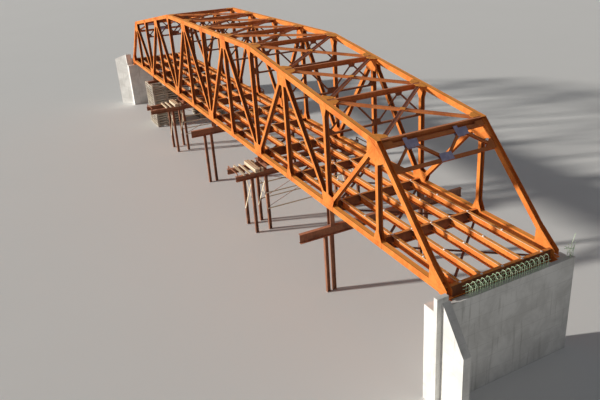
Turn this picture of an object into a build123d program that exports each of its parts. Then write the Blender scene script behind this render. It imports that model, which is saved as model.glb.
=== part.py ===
from build123d import *
import os
from math import cos, pi, radians, sin

# Through truss road bridge on its abutments and temporary bents, a model at one to ten.
# All sizes are millimetres of the model. X runs along the bridge, Y across it, Z is up.
# The origin is on the ground plane under the middle of the bridge.

# Truss layout. Joints are numbered 0 to PANELS from the front end, which is at +X.
PANELS = 12                 # an even number of equal panels
PANEL = 762.0               # panel length
TRUSS_SPACING = 932.0       # between the two truss planes
CHORD_LINE = 820.0          # height of the bottom chord line above the ground plane
HIP_RISE = 770.0            # top chord above bottom chord at the first upper joint
CROWN_RISE = 1104.0         # the same over the level middle panels
CROWN_JOINT = 4             # upper joint where the level part begins

# Rolled and built members. Flanges lie parallel to the truss plane.
MEMBER_DEPTH = 40.0         # across the truss, outside to outside of the flanges
FLANGE = 2.6
WEB = 2.0
BOTTOM_CHORD_WIDTH = 50.0
TOP_CHORD_WIDTH = 48.0
END_POST_WIDTH = 43.0
VERTICAL_WIDTH = 34.0
DIAGONAL_WIDTH = 34.0
MEMBER_GAP = 2.0            # left between the cut ends of members that meet

# Gusset plates, one on each face of the truss at every joint.
GUSSET = 2.0                # thickness
GUSSET_INSET = 3.0          # plate edge back from the chord edge
GUSSET_CORNER = 15.0        # radius of the hip plates
SMALL_CHORD_REACH = 52.0    # plate length along the chord where only a post meets it
SMALL_POST_REACH = 105.0
FAN_CHORD_REACH = 82.0      # the same where diagonals meet too
FAN_POST_REACH = 118.0
FAN_DIAGONAL_REACH = 136.0
HIP_CHORD_REACH = 112.0
HIP_POST_REACH = 152.0
HIP_DIAGONAL_REACH = 150.0
HIP_END_POST_REACH = 150.0
SHOE_CHORD_REACH = 150.0    # plates over the bearings
SHOE_POST_REACH = 185.0
SHOE_END = 34.0             # plate edge beyond the joint

# Floor.
FLOOR_RISE = 32.0           # top of floor beams and stringers above the bottom chord line
FLOOR_BEAM_DEPTH = 95.0
FLOOR_BEAM_WIDTH = 28.0
STRINGERS = 5
STRINGER_SPACING = 178.0
STRINGER_DEPTH = 60.0
STRINGER_WIDTH = 28.0
BOTTOM_LATERAL = 16.0       # angle leg
BOTTOM_LATERAL_DROP = 4.0   # angles below the stringers
BOTTOM_PLATE = 72.0         # side of the plates at the floor beams
BOTTOM_PLATE_NOSE = 22.0    # short edges of those plates
BOTTOM_CROSS_PLATE = 56.0
BOTTOM_LATERAL_CLEAR = 38.0     # corner of the panel to the end of an angle
BOTTOM_LATERAL_GAP = 12.0   # crossing to the cut angles
ANGLE = 2.0                 # thickness of every angle

# Bracing between the top chords.
STRUT_DEPTH = 44.0
STRUT_WIDTH = 26.0
LATERAL_DEPTH = 28.0        # laid flat, so its web is level
LATERAL_WIDTH = 20.0
PLATE = 2.0                 # every bracing plate
PLATE_GAP = 1.0             # plate to the flange of the strut
LATERAL_PLATE_REACH = 96.0  # along the chord from the strut
LATERAL_PLATE_WIDTH = 74.0
LATERAL_PLATE_NOSE = 22.0
LATERAL_PLATE_TIP = 40.0
LATERAL_CLEAR = 44.0        # corner of the panel to the end of a lateral
LATERAL_GAP = 21.0          # crossing to the cut laterals
CROSS_PLATE = 60.0

# Sway frames below the inner top struts.
SWAY_DROP = 258.0           # lower strut below the top chord line
SWAY_ANGLE = 16.0
SWAY_PLATE = 48.0           # half the wide edge of the middle plates
SWAY_PLATE_NARROW = 36.0    # and half the narrow edge
SWAY_PLATE_HEIGHT = 58.0
SWAY_HANGER = 36.0          # the same for the plates under the top struts
SWAY_HANGER_NARROW = 24.0
SWAY_HANGER_HEIGHT = 30.0
SWAY_KNEE = 60.0            # sides of the plates at the trusses

# Portals, in the sloping plane of the end posts.
PORTAL_TOP = 42.0           # down the slope from the hip to the upper strut
PORTAL_BOTTOM = 236.0       # and to the lower strut
PORTAL_DEPTH = 24.0
PORTAL_WIDTH = 26.0
PORTAL_BRACE_WIDTH = 18.0
PORTAL_PLATE_LENGTH = 112.0
PORTAL_PLATE_TOP = 104.0    # the edge away from the strut
PORTAL_PLATE_WIDTH = 62.0
PORTAL_KNEE = 80.0
PORTAL_CORNER = 78.0        # plates between the hip struts and the upper struts
PORTAL_CORNER_START = 8.0   # down the slope, clear of the hip strut
PORTAL_TAB = 36.0           # width of the tabs from the hip struts

# Bearings under the four truss ends.
SOLE_LENGTH = 92.0
SOLE = 6.0
PIN_RADIUS = 9.0
SHOE_LENGTH = 56.0
BASE_LENGTH = 88.0
BASE_WIDTH = 64.0
BEARING_HEIGHT = 45.0

# Concrete abutments.
SEAT_DEPTH = 130.0          # along the bridge
SEAT_AHEAD = 46.0           # seat in front of the bearing centre
ABUTMENT_OVERHANG = 134.0   # past the truss planes on each side
BACK_WALL = 34.0
FRONT_WALL_RISE = 24.0      # the front back wall above its seat, as far as it is cast
CORNER_WIDTH = 88.0         # raised ends of the back walls
FAR_CORNER_RISE = 190.0     # above the seat
WING_THICKNESS = 60.0
WING_LINE = 530.0           # front wing wall from the middle of the bridge
WING_LENGTH = 212.0
WING_TOP = 815.0            # above the ground plane
WING_END = 530.0
FAR_WING_SPLAY = 45.0       # degrees
FAR_WING_LENGTH = 239.8
FAR_WING_END = 855.0

# Temporary bents.
FIRST_STACK = 160.0         # seat stack under the chord
MIDDLE_STACK = 80.0
TOWER_STACK = 115.0
CAP_OVERHANG = 300.0        # cap past the truss plane
TOWER_OVERHANG = 334.0
LONG_OVERHANG = 470.0
FIRST_ROW_OUTER = 60.0      # rows of piles, outward from the truss planes
MIDDLE_ROW_INNER = 52.0
MIDDLE_ROW_OUTER = 136.0
TOWER_ROW_INNER = 10.0
TOWER_ROW_OUTER = 163.0
FIRST_ROWS = (0.0, FIRST_ROW_OUTER)
MIDDLE_ROWS = (MIDDLE_ROW_INNER, MIDDLE_ROW_OUTER)
TOWER_ROWS = (TOWER_ROW_INNER, TOWER_ROW_OUTER)
# Each has its lower joint, its plan, its stack, its right and left overhang and its rows.
BENTS = (
    (2, "pair", FIRST_STACK, (CAP_OVERHANG, LONG_OVERHANG), FIRST_ROWS),
    (4, "tower", TOWER_STACK, (TOWER_OVERHANG, TOWER_OVERHANG), TOWER_ROWS),
    (6, "pair", MIDDLE_STACK, (CAP_OVERHANG, CAP_OVERHANG), MIDDLE_ROWS),
    (8, "tower", TOWER_STACK, (LONG_OVERHANG, TOWER_OVERHANG), TOWER_ROWS),
)
CAP_DEPTH = 84.0
TOWER_CAP_DEPTH = 56.0
HEADER_DEPTH = 52.0         # short beams across the two caps of a tower
CAP_WIDTH = 36.0
CAP_FLANGE = 3.0
PILE = 30.0                 # flange width and depth
STOOL_LENGTH = 60.0
TOWER_LENGTH = 250.0        # between the two caps
BOARD_WIDTH = 15.0          # timber cross bracing of the towers
BOARD = 3.0
BRACE_TOP = 60.0            # below the caps
BRACE_FOOT = 190.0          # above the ground
LOW_TIE_LEVEL = 250.0       # timber ties between the towers of one bent
HIGH_TIE_LEVEL = 430.0
TIE_WIDTH = 12.0
ROD = 4.0

# Timbers kept on the tower caps outside the trusses, and the low rails at the cap ends.
TIMBER = 28.0               # width of the stacked timbers
TIMBER_DEPTH = 22.0
TIMBER_LAYERS = 2
INNER_STACK_LINE = 74.0     # their inner faces from the truss plane
OUTER_STACK_LINE = 104.0
INNER_LOOSE_LINE = 176.0
OUTER_LOOSE_LINE = 236.0
LOOSE_TIMBER = 20.0
TIMBER_OVERHANG = 16.0      # past the caps
BLOCK_LINE = 34.0
BLOCK = 26.0
BLOCK_HEIGHT = 38.0
RAIL_MARGIN = 14.0          # cap end beyond the rail
RAIL_HEIGHT = 32.0
RAIL = 8.0

# Timber cribs under joint 10, one below each truss.
CRIB_JOINT = 10
CRIB_LENGTH = 500.0
CRIB_WIDTH = 440.0
CRIB_OUTER = 120.0          # past the truss plane
CRIB_STACK = 102.0          # from the crib to the chord
CRIB_HEADER = 40.0          # depth of the beams across the crib tops
CRIB_COURSES = 33
SLEEPER_WIDTH = 40.0
CRIB_ROWS = 3

RIGHT, LEFT = -1, 1
SIDES = {"right": RIGHT, "left": LEFT}
Y_AXIS = Vector(0, 1, 0)
UP = Vector(0, 0, 1)


def top_rise(joint):
    """Height of the top chord line over the bottom one."""
    from_end = min(joint, PANELS - joint)
    slope = (CROWN_RISE - HIP_RISE) / (CROWN_JOINT - 1)
    return min(CROWN_RISE, HIP_RISE + slope * (from_end - 1))


def joint_x(joint):
    return (PANELS / 2 - joint) * PANEL


def lower(joint, y=0.0):
    return Vector(joint_x(joint), y, CHORD_LINE)


def upper(joint, y=0.0):
    return Vector(joint_x(joint), y, CHORD_LINE + top_rise(joint))


def i_section(depth, width, flange=FLANGE, web=WEB):
    """An I outline whose flanges lie along local X."""
    inside = depth / 2 - flange
    half = [(width / 2, depth / 2), (width / 2, inside), (web / 2, inside)]
    half += [(x, -y) for x, y in reversed(half)]
    other = [(-x, y) for x, y in reversed(half)]
    return make_face(Polyline(*half, *other, close=True))


def angle_section(leg, thickness=ANGLE):
    """An L outline with its corner at local plus Y."""
    a, b = leg / 2, leg / 2 - thickness
    return make_face(Polyline((-a, a), (a, a), (a, b), (-b, b), (-b, -a), (-a, -a), close=True))


def beam(section, start, end, up):
    """Carry a section along a straight line, its local Y towards up."""
    axis = end - start
    across = up.cross(axis)
    seat = Plane(origin=start, x_dir=across, z_dir=axis)
    return extrude(seat * section, amount=axis.length)


def sheet(corners, normal):
    """A flat plate that rises from its corners along the normal."""
    return extrude(make_face(Polyline(*corners, close=True)), amount=PLATE, dir=normal)


def unit(start, end):
    return (end - start).normalized()


def setback(direction, half, others):
    """Distance from a joint at which a square end clears the members it meets."""
    reach = 0.0
    for other, other_half in others:
        turn = radians(direction.get_angle(other))
        if pi / 12 < turn < 3 * pi / 4:
            room = other_half + MEMBER_GAP + half * abs(cos(turn))
            reach = max(reach, room / sin(turn))
    return reach


def lower_lines(joint):
    """Directions and half widths of what runs through or ends at a lower joint."""
    lines = []
    for other in (joint - 1, joint + 1):
        if 0 <= other <= PANELS:
            lines.append((unit(lower(joint), lower(other)), BOTTOM_CHORD_WIDTH / 2))
    return lines


def upper_lines(joint):
    lines = []
    for other in (joint - 1, joint + 1):
        if 1 <= other <= PANELS - 1:
            lines.append((unit(upper(joint), upper(other)), TOP_CHORD_WIDTH / 2))
        else:
            lines.append((unit(upper(joint), lower(other)), END_POST_WIDTH / 2))
    return lines


def bottom_chord():
    return [beam(i_section(MEMBER_DEPTH, BOTTOM_CHORD_WIDTH), lower(0), lower(PANELS), Y_AXIS)]


def mitre(solid, joint, before, after):
    """Cut a member at a bend on the plane that halves the angle."""
    towards = unit(joint, before) - unit(joint, after)
    return split(solid, bisect_by=Plane(origin=joint, z_dir=towards), keep=Keep.TOP)


def bent_run(points, sections):
    """Straight members end to end, mitred where they meet."""
    solids = []
    for k, section in enumerate(sections):
        start, end = points[k], points[k + 1]
        along = unit(start, end) * TOP_CHORD_WIDTH
        first = start - along if k > 0 else start
        last = end + along if k < len(sections) - 1 else end
        solid = beam(section, first, last, Y_AXIS)
        if k > 0:
            solid = mitre(solid, start, end, points[k - 1])
        if k < len(sections) - 1:
            solid = mitre(solid, end, start, points[k + 2])
        solids.append(solid)
    return solids


def top_members():
    """End post, three runs of top chord and the other end post, in order."""
    post = i_section(MEMBER_DEPTH, END_POST_WIDTH)
    chord = i_section(MEMBER_DEPTH, TOP_CHORD_WIDTH)
    bends = [upper(n) for n in (1, CROWN_JOINT, PANELS - CROWN_JOINT, PANELS - 1)]
    feet = []
    for end, hip in ((0, 1), (PANELS, PANELS - 1)):
        slope = unit(lower(end), upper(hip))
        feet.append(lower(end) + slope * setback(slope, END_POST_WIDTH / 2, lower_lines(end)))
    return bent_run([feet[0], *bends, feet[1]], [post, chord, chord, chord, post])


def web_member(top, bottom, width, shared):
    """A post or diagonal between an upper and a lower joint, cut short at both."""
    down = unit(upper(top), lower(bottom))
    half = width / 2
    at_top = setback(down, half, upper_lines(top) + shared)
    at_foot = setback(down * -1, half, lower_lines(bottom) + shared)
    section = i_section(MEMBER_DEPTH, width)
    return beam(section, upper(top) + down * at_top, lower(bottom) - down * at_foot, Y_AXIS)


def verticals():
    return [web_member(n, n, VERTICAL_WIDTH, []) for n in range(1, PANELS)]


def diagonal_joints():
    """Upper and lower joint of each diagonal."""
    pairs = []
    for top in range(1, PANELS, 2):
        pairs += [(top, foot) for foot in (top - 1, top + 1) if 0 < foot < PANELS]
    return pairs


def diagonals():
    post = [(UP, VERTICAL_WIDTH / 2), (UP * -1, VERTICAL_WIDTH / 2)]
    return [web_member(top, foot, DIAGONAL_WIDTH, post) for top, foot in diagonal_joints()]


def plate_outline(joint, arms):
    """Corners of a gusset whose arms lie over the members at a joint."""
    def bearing(arm):
        return Vector(1, 0, 0).get_signed_angle(arm[0], Y_AXIS * -1) % 360
    corners = []
    for direction, reach, half in sorted(arms, key=bearing):
        side = direction.cross(Y_AXIS)
        tip = joint + direction * reach
        corners += [tip - side * half, tip + side * half]
    return corners


def gusset_pair(corners, radius=0.0):
    """The same plate on both faces of a truss that stands at Y = 0."""
    face = make_face(Polyline(*corners, close=True))
    if radius:
        face = fillet(face.vertices(), radius)
    plates = []
    for y in (MEMBER_DEPTH / 2, -MEMBER_DEPTH / 2 - GUSSET):
        plates.append(Pos(0, y, 0) * extrude(face, amount=GUSSET, dir=Y_AXIS))
    return plates


def arms_to_diagonals(joint, is_upper, reach):
    """Gusset arms over the diagonals of one joint."""
    arms = []
    for top, foot in diagonal_joints():
        here, there = (top, foot) if is_upper else (foot, top)
        if here == joint:
            ends = (upper(here), lower(there)) if is_upper else (lower(here), upper(there))
            arms.append((unit(*ends), reach, DIAGONAL_WIDTH / 2))
    return arms


def lower_gussets():
    plates = []
    half = BOTTOM_CHORD_WIDTH / 2 - GUSSET_INSET
    for joint in range(1, PANELS):
        arms = arms_to_diagonals(joint, False, FAN_DIAGONAL_REACH)
        chord = FAN_CHORD_REACH if arms else SMALL_CHORD_REACH
        post = FAN_POST_REACH if arms else SMALL_POST_REACH
        arms.append((UP, post, VERTICAL_WIDTH / 2))
        arms += [(direction, chord, half) for direction, _ in lower_lines(joint)]
        plates += gusset_pair(plate_outline(lower(joint), arms))
    for joint, hip, inward in ((0, 1, -1), (PANELS, PANELS - 1, 1)):
        plates += gusset_pair(shoe_outline(joint, hip, inward, half))
    return plates


def shoe_outline(joint, hip, inward, half):
    """The big plate that ties an end post to the chord over its bearing."""
    centre = lower(joint)
    slope = unit(centre, upper(hip))
    side = slope.cross(Y_AXIS) * -inward
    tip = centre + slope * SHOE_POST_REACH
    end = Vector(-inward * SHOE_END, 0, 0)
    return [
        centre + Vector(inward * SHOE_CHORD_REACH, 0, -half),
        centre + Vector(inward * SHOE_CHORD_REACH, 0, half),
        tip + side * (END_POST_WIDTH / 2),
        tip - side * (END_POST_WIDTH / 2),
        centre + end + UP * half,
        centre + end - UP * half,
    ]


def upper_gussets():
    plates = []
    half = TOP_CHORD_WIDTH / 2 - GUSSET_INSET
    for joint in range(1, PANELS):
        hip = joint in (1, PANELS - 1)
        reach = HIP_DIAGONAL_REACH if hip else FAN_DIAGONAL_REACH
        arms = arms_to_diagonals(joint, True, reach)
        post = HIP_POST_REACH if hip else FAN_POST_REACH if arms else SMALL_POST_REACH
        chord = HIP_CHORD_REACH if hip else FAN_CHORD_REACH if arms else SMALL_CHORD_REACH
        arms.append((UP * -1, post, VERTICAL_WIDTH / 2))
        for direction, width in upper_lines(joint):
            along = HIP_END_POST_REACH if width == END_POST_WIDTH / 2 else chord
            arms.append((direction, along, width - GUSSET_INSET))
        outline = plate_outline(upper(joint), arms)
        plates += gusset_pair(outline, GUSSET_CORNER if hip else 0.0)
    return plates


def floor_end():
    """Y of the inner gusset faces, where cross members end."""
    return TRUSS_SPACING / 2 - MEMBER_DEPTH / 2 - GUSSET


def floor_beams():
    section = i_section(FLOOR_BEAM_DEPTH, FLOOR_BEAM_WIDTH)
    drop = UP * (FLOOR_RISE - FLOOR_BEAM_DEPTH / 2)
    y = floor_end()
    return [beam(section, lower(n, -y) + drop, lower(n, y) + drop, UP) for n in range(PANELS + 1)]


def stringers():
    """Beams between floor beams, their top flanges flush and butted to the beams' own."""
    solids = []
    section = i_section(STRINGER_DEPTH, STRINGER_WIDTH)
    drop = UP * (FLOOR_RISE - STRINGER_DEPTH / 2)
    seat = Vector(FLOOR_BEAM_WIDTH / 2, 0, 0)
    for panel in range(PANELS):
        for row in range(STRINGERS):
            y = (row - (STRINGERS - 1) / 2) * STRINGER_SPACING
            front, back = lower(panel, y) + drop, lower(panel + 1, y) + drop
            solids.append(beam(section, front - seat, back + seat, UP))
    return solids


def cross_pair(section, corners, ups, clear, gap):
    """Two crossing braces, the second one cut at the first."""
    first, second, third, fourth = corners
    whole = unit(first, second)
    broken = unit(third, fourth)
    centre = (first + second) * 0.5
    solids = [beam(section, first + whole * clear, second - whole * clear, ups[0])]
    solids.append(beam(section, third + broken * clear, centre - broken * gap, ups[1]))
    solids.append(beam(section, centre + broken * gap, fourth - broken * clear, ups[1]))
    return solids


def lateral_level():
    """Centre of the bottom lateral angles, from the bottom chord line."""
    return FLOOR_RISE - STRINGER_DEPTH - BOTTOM_LATERAL_DROP - BOTTOM_LATERAL / 2


def bottom_plates():
    """Level plates on the bottom laterals, at the floor beams and at the crossings."""
    plates = []
    level = UP * (lateral_level() + BOTTOM_LATERAL / 2)
    y = floor_end()
    for n in range(PANELS + 1):
        for along in (-1, 1):
            if 0 <= n - along <= PANELS:
                for edge in (-1, 1):
                    root = lower(n, edge * y) + level + Vector(along * WEB / 2, 0, 0)
                    spots = [(0, 0), (BOTTOM_PLATE, 0), (BOTTOM_PLATE_NOSE, BOTTOM_PLATE),
                             (0, BOTTOM_PLATE)]
                    corners = [root + Vector(along * a, -edge * b, 0) for a, b in spots]
                    plates.append(sheet(corners, UP))
    for n in range(PANELS):
        middle = (lower(n) + lower(n + 1)) * 0.5 + level
        half = BOTTOM_CROSS_PLATE / 2
        spots = [(half, 0), (0, half), (-half, 0), (0, -half)]
        plates.append(sheet([middle + Vector(a, b, 0) for a, b in spots], UP))
    return plates


def bottom_laterals():
    solids = []
    level = lateral_level()
    y = floor_end()
    for n in range(PANELS):
        a, b, c, d = lower(n, -y), lower(n + 1, y), lower(n, y), lower(n + 1, -y)
        corners = [point + UP * level for point in (a, b, c, d)]
        ups = (UP, UP)
        solids += cross_pair(angle_section(BOTTOM_LATERAL), corners, ups,
                             BOTTOM_LATERAL_CLEAR, BOTTOM_LATERAL_GAP)
    return solids


def top_struts():
    section = i_section(STRUT_DEPTH, STRUT_WIDTH)
    y = floor_end()
    return [beam(section, upper(n, -y), upper(n, y), UP) for n in range(1, PANELS)]


def panel_frame(panel):
    """Corners of one top panel between the inner faces, and its normal."""
    y = floor_end()
    front, back = upper(panel), upper(panel + 1)
    normal = Y_AXIS.cross(front - back).normalized()
    if normal.Z < 0:
        normal = normal * -1
    return front, back, Y_AXIS * y, normal


def top_laterals():
    """Crossed beams laid flat in each top panel, level with the tops of the struts."""
    solids = []
    section = i_section(LATERAL_DEPTH, LATERAL_WIDTH)
    for panel in range(1, PANELS - 1):
        front, back, side, normal = panel_frame(panel)
        rise = normal * ((STRUT_DEPTH - LATERAL_WIDTH) / 2)
        front, back = front + rise, back + rise
        corners = (back - side, front + side, front - side, back + side)
        ways = (unit(corners[0], corners[1]), unit(corners[2], corners[3]))
        flat = [normal.cross(way) for way in ways]
        solids += cross_pair(section, corners, flat, LATERAL_CLEAR, LATERAL_GAP)
    return solids


def lateral_plates():
    """Plates over the ends and the crossings of the top laterals, at the top of the chord."""
    plates = []
    for panel in range(1, PANELS - 1):
        front, back, side, normal = panel_frame(panel)
        lift = normal * (STRUT_DEPTH / 2)
        for end, other in ((front, back), (back, front)):
            along = unit(end, other)
            start = STRUT_WIDTH / 2 + PLATE_GAP
            for edge in (1, -1):
                inward = Y_AXIS * -edge
                root = end - inward * chord_face() + lift + along * start
                reach = along * (LATERAL_PLATE_REACH - start)
                tip = inward * LATERAL_PLATE_WIDTH
                neck = root + tip + along * LATERAL_PLATE_TIP
                nose = root + reach + inward * LATERAL_PLATE_NOSE
                corners = [root, root + reach, nose, neck, root + tip]
                plates.append(sheet(corners, normal))
        middle = (front + back) * 0.5 + lift
        a, b = unit(front, back) * (CROSS_PLATE / 2), Y_AXIS * (CROSS_PLATE / 2)
        plates.append(sheet([middle + a, middle + b, middle - a, middle - b], normal))
    return plates


def chord_face():
    """Y of the inner flange faces of the truss members."""
    return TRUSS_SPACING / 2 - MEMBER_DEPTH / 2


def sway_frames():
    """Lower strut, M braces and plates under every inner top strut."""
    struts, braces, plates = [], [], []
    section = angle_section(SWAY_ANGLE)
    half = SWAY_ANGLE / 2
    along = Vector(1, 0, 0)
    for n in range(2, PANELS - 1):
        low = upper(n) - UP * SWAY_DROP
        high = upper(n) - UP * (STRUT_DEPTH / 2)
        reach = Y_AXIS * chord_face()
        struts.append(beam(section, low - reach, low + reach, UP))
        centre, knot = TRUSS_SPACING / 2, floor_end() / 2
        for edge in (-1, 1):
            foot, head = low + Y_AXIS * (edge * centre), high + Y_AXIS * (edge * knot)
            for start, room in ((foot, centre - floor_end()), (low, 0.0)):
                way = unit(start, head)
                lift = setback(way, half, [(Y_AXIS, half), (Y_AXIS * -1, half), (UP, room)])
                end = setback(way * -1, half, [(Y_AXIS, 0.0), (Y_AXIS * -1, 0.0), (UP * -1, 0.0)])
                braces.append(beam(section, start + way * lift, head - way * end, along))
            inward = Y_AXIS * -edge
            corner = low - inward * chord_face()
            knee = [(0, -half), (SWAY_KNEE, -half), (SWAY_KNEE, half), (0, SWAY_KNEE)]
            plates.append(face_plate(corner, inward, knee))
            hanger = [(-SWAY_HANGER, 0), (SWAY_HANGER, 0),
                      (SWAY_HANGER_NARROW, -SWAY_HANGER_HEIGHT),
                      (-SWAY_HANGER_NARROW, -SWAY_HANGER_HEIGHT)]
            plates.append(face_plate(head, Y_AXIS, hanger))
        rise = SWAY_PLATE_HEIGHT - half
        middle = [(-SWAY_PLATE, -half), (SWAY_PLATE, -half),
                  (SWAY_PLATE_NARROW, rise), (-SWAY_PLATE_NARROW, rise)]
        plates.append(face_plate(low, Y_AXIS, middle))
    return struts, braces, plates


def face_plate(point, across, spots):
    """An upright plate on the front face of the sway angles."""
    face = point + Vector(SWAY_ANGLE / 2, 0, 0)
    return sheet([face + across * a + UP * b for a, b in spots], Vector(1, 0, 0))


def portals():
    """Struts, M braces and plates in the plane of each pair of end posts."""
    struts, braces, plates = [], [], []
    y = floor_end()
    strut = i_section(PORTAL_DEPTH, PORTAL_WIDTH)
    brace = i_section(PORTAL_DEPTH, PORTAL_BRACE_WIDTH)
    for hip, foot in ((1, 0), (PANELS - 1, PANELS)):
        down = unit(upper(hip), lower(foot))
        outward = Y_AXIS.cross(down)
        if outward.Z < 0:
            outward = outward * -1
        rows = [upper(hip) + down * PORTAL_TOP, upper(hip) + down * PORTAL_BOTTOM]
        for row, reach in zip(rows, (y, y + GUSSET)):
            side = Y_AXIS * reach
            struts.append(beam(strut, row - side, row + side, outward))
        knots = [(-1.0, 1), (-0.5, 0), (0.0, 1), (0.5, 0), (1.0, 1)]
        points = [rows[level] + Y_AXIS * (share * y) for share, level in knots]
        for start, end in zip(points, points[1:]):
            slope = unit(start, end)
            ends = []
            for point, way in ((start, slope), (end, slope * -1)):
                lines = [(Y_AXIS, PORTAL_WIDTH / 2), (Y_AXIS * -1, PORTAL_WIDTH / 2)]
                if abs(point.Y) > y - 1:
                    lines.append((down * -1, 0.0))
                ends.append(point + way * setback(way, PORTAL_BRACE_WIDTH / 2, lines))
            braces.append(beam(brace, ends[0], ends[1], outward))
        for point, level in zip(points, [level for _, level in knots]):
            rise = down if level == 0 else down * -1
            plates += portal_plates(point, rise, outward, y)
        plates += hip_plates(upper(hip), down, outward, y)
    return struts, braces, plates


def portal_plates(point, rise, outward, y):
    """A plate on the outer and the inner face where portal braces meet a strut."""
    half = PORTAL_PLATE_LENGTH / 2
    low, high = -PORTAL_WIDTH / 2, PORTAL_PLATE_WIDTH - PORTAL_WIDTH / 2
    if abs(point.Y) > y - 1:
        inward = Y_AXIS if point.Y < 0 else Y_AXIS * -1
        spots = [(0, low), (PORTAL_KNEE, low), (PORTAL_KNEE, -low), (0, PORTAL_KNEE)]
    else:
        inward = Y_AXIS
        top = PORTAL_PLATE_TOP / 2
        spots = [(-half, low), (half, low), (top, high), (-top, high)]
    corners = [point + inward * a + rise * b for a, b in spots]
    lift = outward * (PORTAL_DEPTH / 2)
    outer = sheet([corner + lift for corner in corners], outward)
    inner = sheet([corner - lift for corner in corners], outward * -1)
    return [outer, inner]


def hip_plates(hip, down, outward, y):
    """Corner plates and tabs between a hip strut and the upper strut of its portal."""
    plates = []
    face = hip + outward * (PORTAL_DEPTH / 2)
    near, edge = PORTAL_CORNER_START, PORTAL_TOP - PORTAL_WIDTH / 2
    far = PORTAL_TOP + PORTAL_WIDTH / 2
    for side in SIDES.values():
        root = face + Y_AXIS * (side * y)
        inward = Y_AXIS * -side
        spots = [(0, near), (PORTAL_CORNER, near), (PORTAL_CORNER, far), (0, far)]
        plates.append(sheet([root + inward * a + down * b for a, b in spots], outward))
        start = side * y / 2 - PORTAL_PLATE_LENGTH / 2
        tab = [(start, near), (start + PORTAL_TAB, near), (start + PORTAL_TAB, edge), (start, edge)]
        plates.append(sheet([face + Y_AXIS * a + down * b for a, b in tab], outward))
    return plates


def bearings():
    """Sole plate, pin and shoe, and base plate under each truss end."""
    solids = []
    chord_bottom = CHORD_LINE - BOTTOM_CHORD_WIDTH / 2
    seat = chord_bottom - BEARING_HEIGHT
    pin_level = chord_bottom - SOLE - PIN_RADIUS
    for joint in (0, PANELS):
        for side in (RIGHT, LEFT):
            spot = Pos(joint_x(joint), side * TRUSS_SPACING / 2, 0)
            low = (Align.CENTER, Align.CENTER, Align.MIN)
            sole = Pos(0, 0, chord_bottom - SOLE) * Box(SOLE_LENGTH, MEMBER_DEPTH, SOLE, align=low)
            solids.append(spot * sole)
            pin = Pos(0, 0, pin_level) * Rot(90, 0, 0) * Cylinder(PIN_RADIUS, MEMBER_DEPTH)
            solids.append(spot * pin)
            height = pin_level - seat - SOLE
            outline = make_face(Polyline(
                (-SHOE_LENGTH / 2, 0), (SHOE_LENGTH / 2, 0), (PIN_RADIUS, height),
                (-PIN_RADIUS, height), close=True))
            shoe = extrude(Plane.XZ * outline, amount=MEMBER_DEPTH / 2, both=True)
            shoe = Pos(0, 0, seat + SOLE) * shoe
            shoe = shoe - pin
            solids.append(spot * shoe)
            solids.append(spot * Pos(0, 0, seat) * Box(BASE_LENGTH, BASE_WIDTH, SOLE, align=low))
    return solids


def seat_level():
    return CHORD_LINE - BOTTOM_CHORD_WIDTH / 2 - BEARING_HEIGHT


def wing_outline(length, top, end):
    """The upright side of a wing wall, its high end at the origin."""
    return make_face(Polyline((0, 0), (length, 0), (length, end), (0, top), close=True))


def wing_wall(length, top, end):
    return extrude(Plane.XZ * wing_outline(length, top, end), amount=WING_THICKNESS / 2, both=True)


def seat_block(width):
    """The block that the bearings stand on, its rear face at X = 0."""
    return Box(SEAT_DEPTH, width, seat_level(), align=(Align.MAX, Align.CENTER, Align.MIN))


def raised_wall(first, last, rise):
    """A length of back wall on the seat, between two places across the bridge."""
    low = (Align.MAX, Align.MIN, Align.MIN)
    return Pos(0, first, seat_level()) * Box(BACK_WALL, last - first, rise, align=low)


def front_abutment():
    """Seat block, low back wall with its one corner, and the straight wing wall behind it."""
    half = TRUSS_SPACING / 2 + ABUTMENT_OVERHANG
    corner = CORNER_WIDTH - half
    full = CHORD_LINE + FLOOR_RISE - seat_level()
    walls = [raised_wall(-half, corner, full), raised_wall(corner, half, FRONT_WALL_RISE)]
    wing = Pos(0, -WING_LINE, 0) * wing_wall(WING_LENGTH, WING_TOP, WING_END)
    place = Pos(joint_x(0) + SEAT_DEPTH - SEAT_AHEAD, 0, 0)
    return place * seat_block(2 * half), [place * wall for wall in walls], [place * wing]


def back_abutment():
    """Seat block, back wall with both corners, and splayed wing walls."""
    half = TRUSS_SPACING / 2 + ABUTMENT_OVERHANG
    corner = half - CORNER_WIDTH
    full = CHORD_LINE + FLOOR_RISE - seat_level()
    walls = [raised_wall(-corner, corner, full)]
    walls += [raised_wall(corner, half, FAR_CORNER_RISE),
              raised_wall(-half, -corner, FAR_CORNER_RISE)]
    reach = WING_THICKNESS / 2 * sin(radians(FAR_WING_SPLAY))
    top = seat_level() + FAR_CORNER_RISE
    wings = []
    for side in SIDES.values():
        turn = Rot(0, 0, side * FAR_WING_SPLAY)
        inset = half - WING_THICKNESS / 2 * cos(radians(FAR_WING_SPLAY))
        wing = turn * wing_wall(FAR_WING_LENGTH, top, FAR_WING_END)
        wings.append(Pos(reach, side * inset, 0) * wing)
    place = Pos(joint_x(PANELS) - SEAT_DEPTH + SEAT_AHEAD, 0, 0) * Rot(0, 0, 180)
    return (place * seat_block(2 * half), [place * wall for wall in walls],
            [place * wing for wing in wings])


def bent_level(stack):
    """Height at which the seat stack under a chord starts."""
    return CHORD_LINE - BOTTOM_CHORD_WIDTH / 2 - stack


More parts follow.
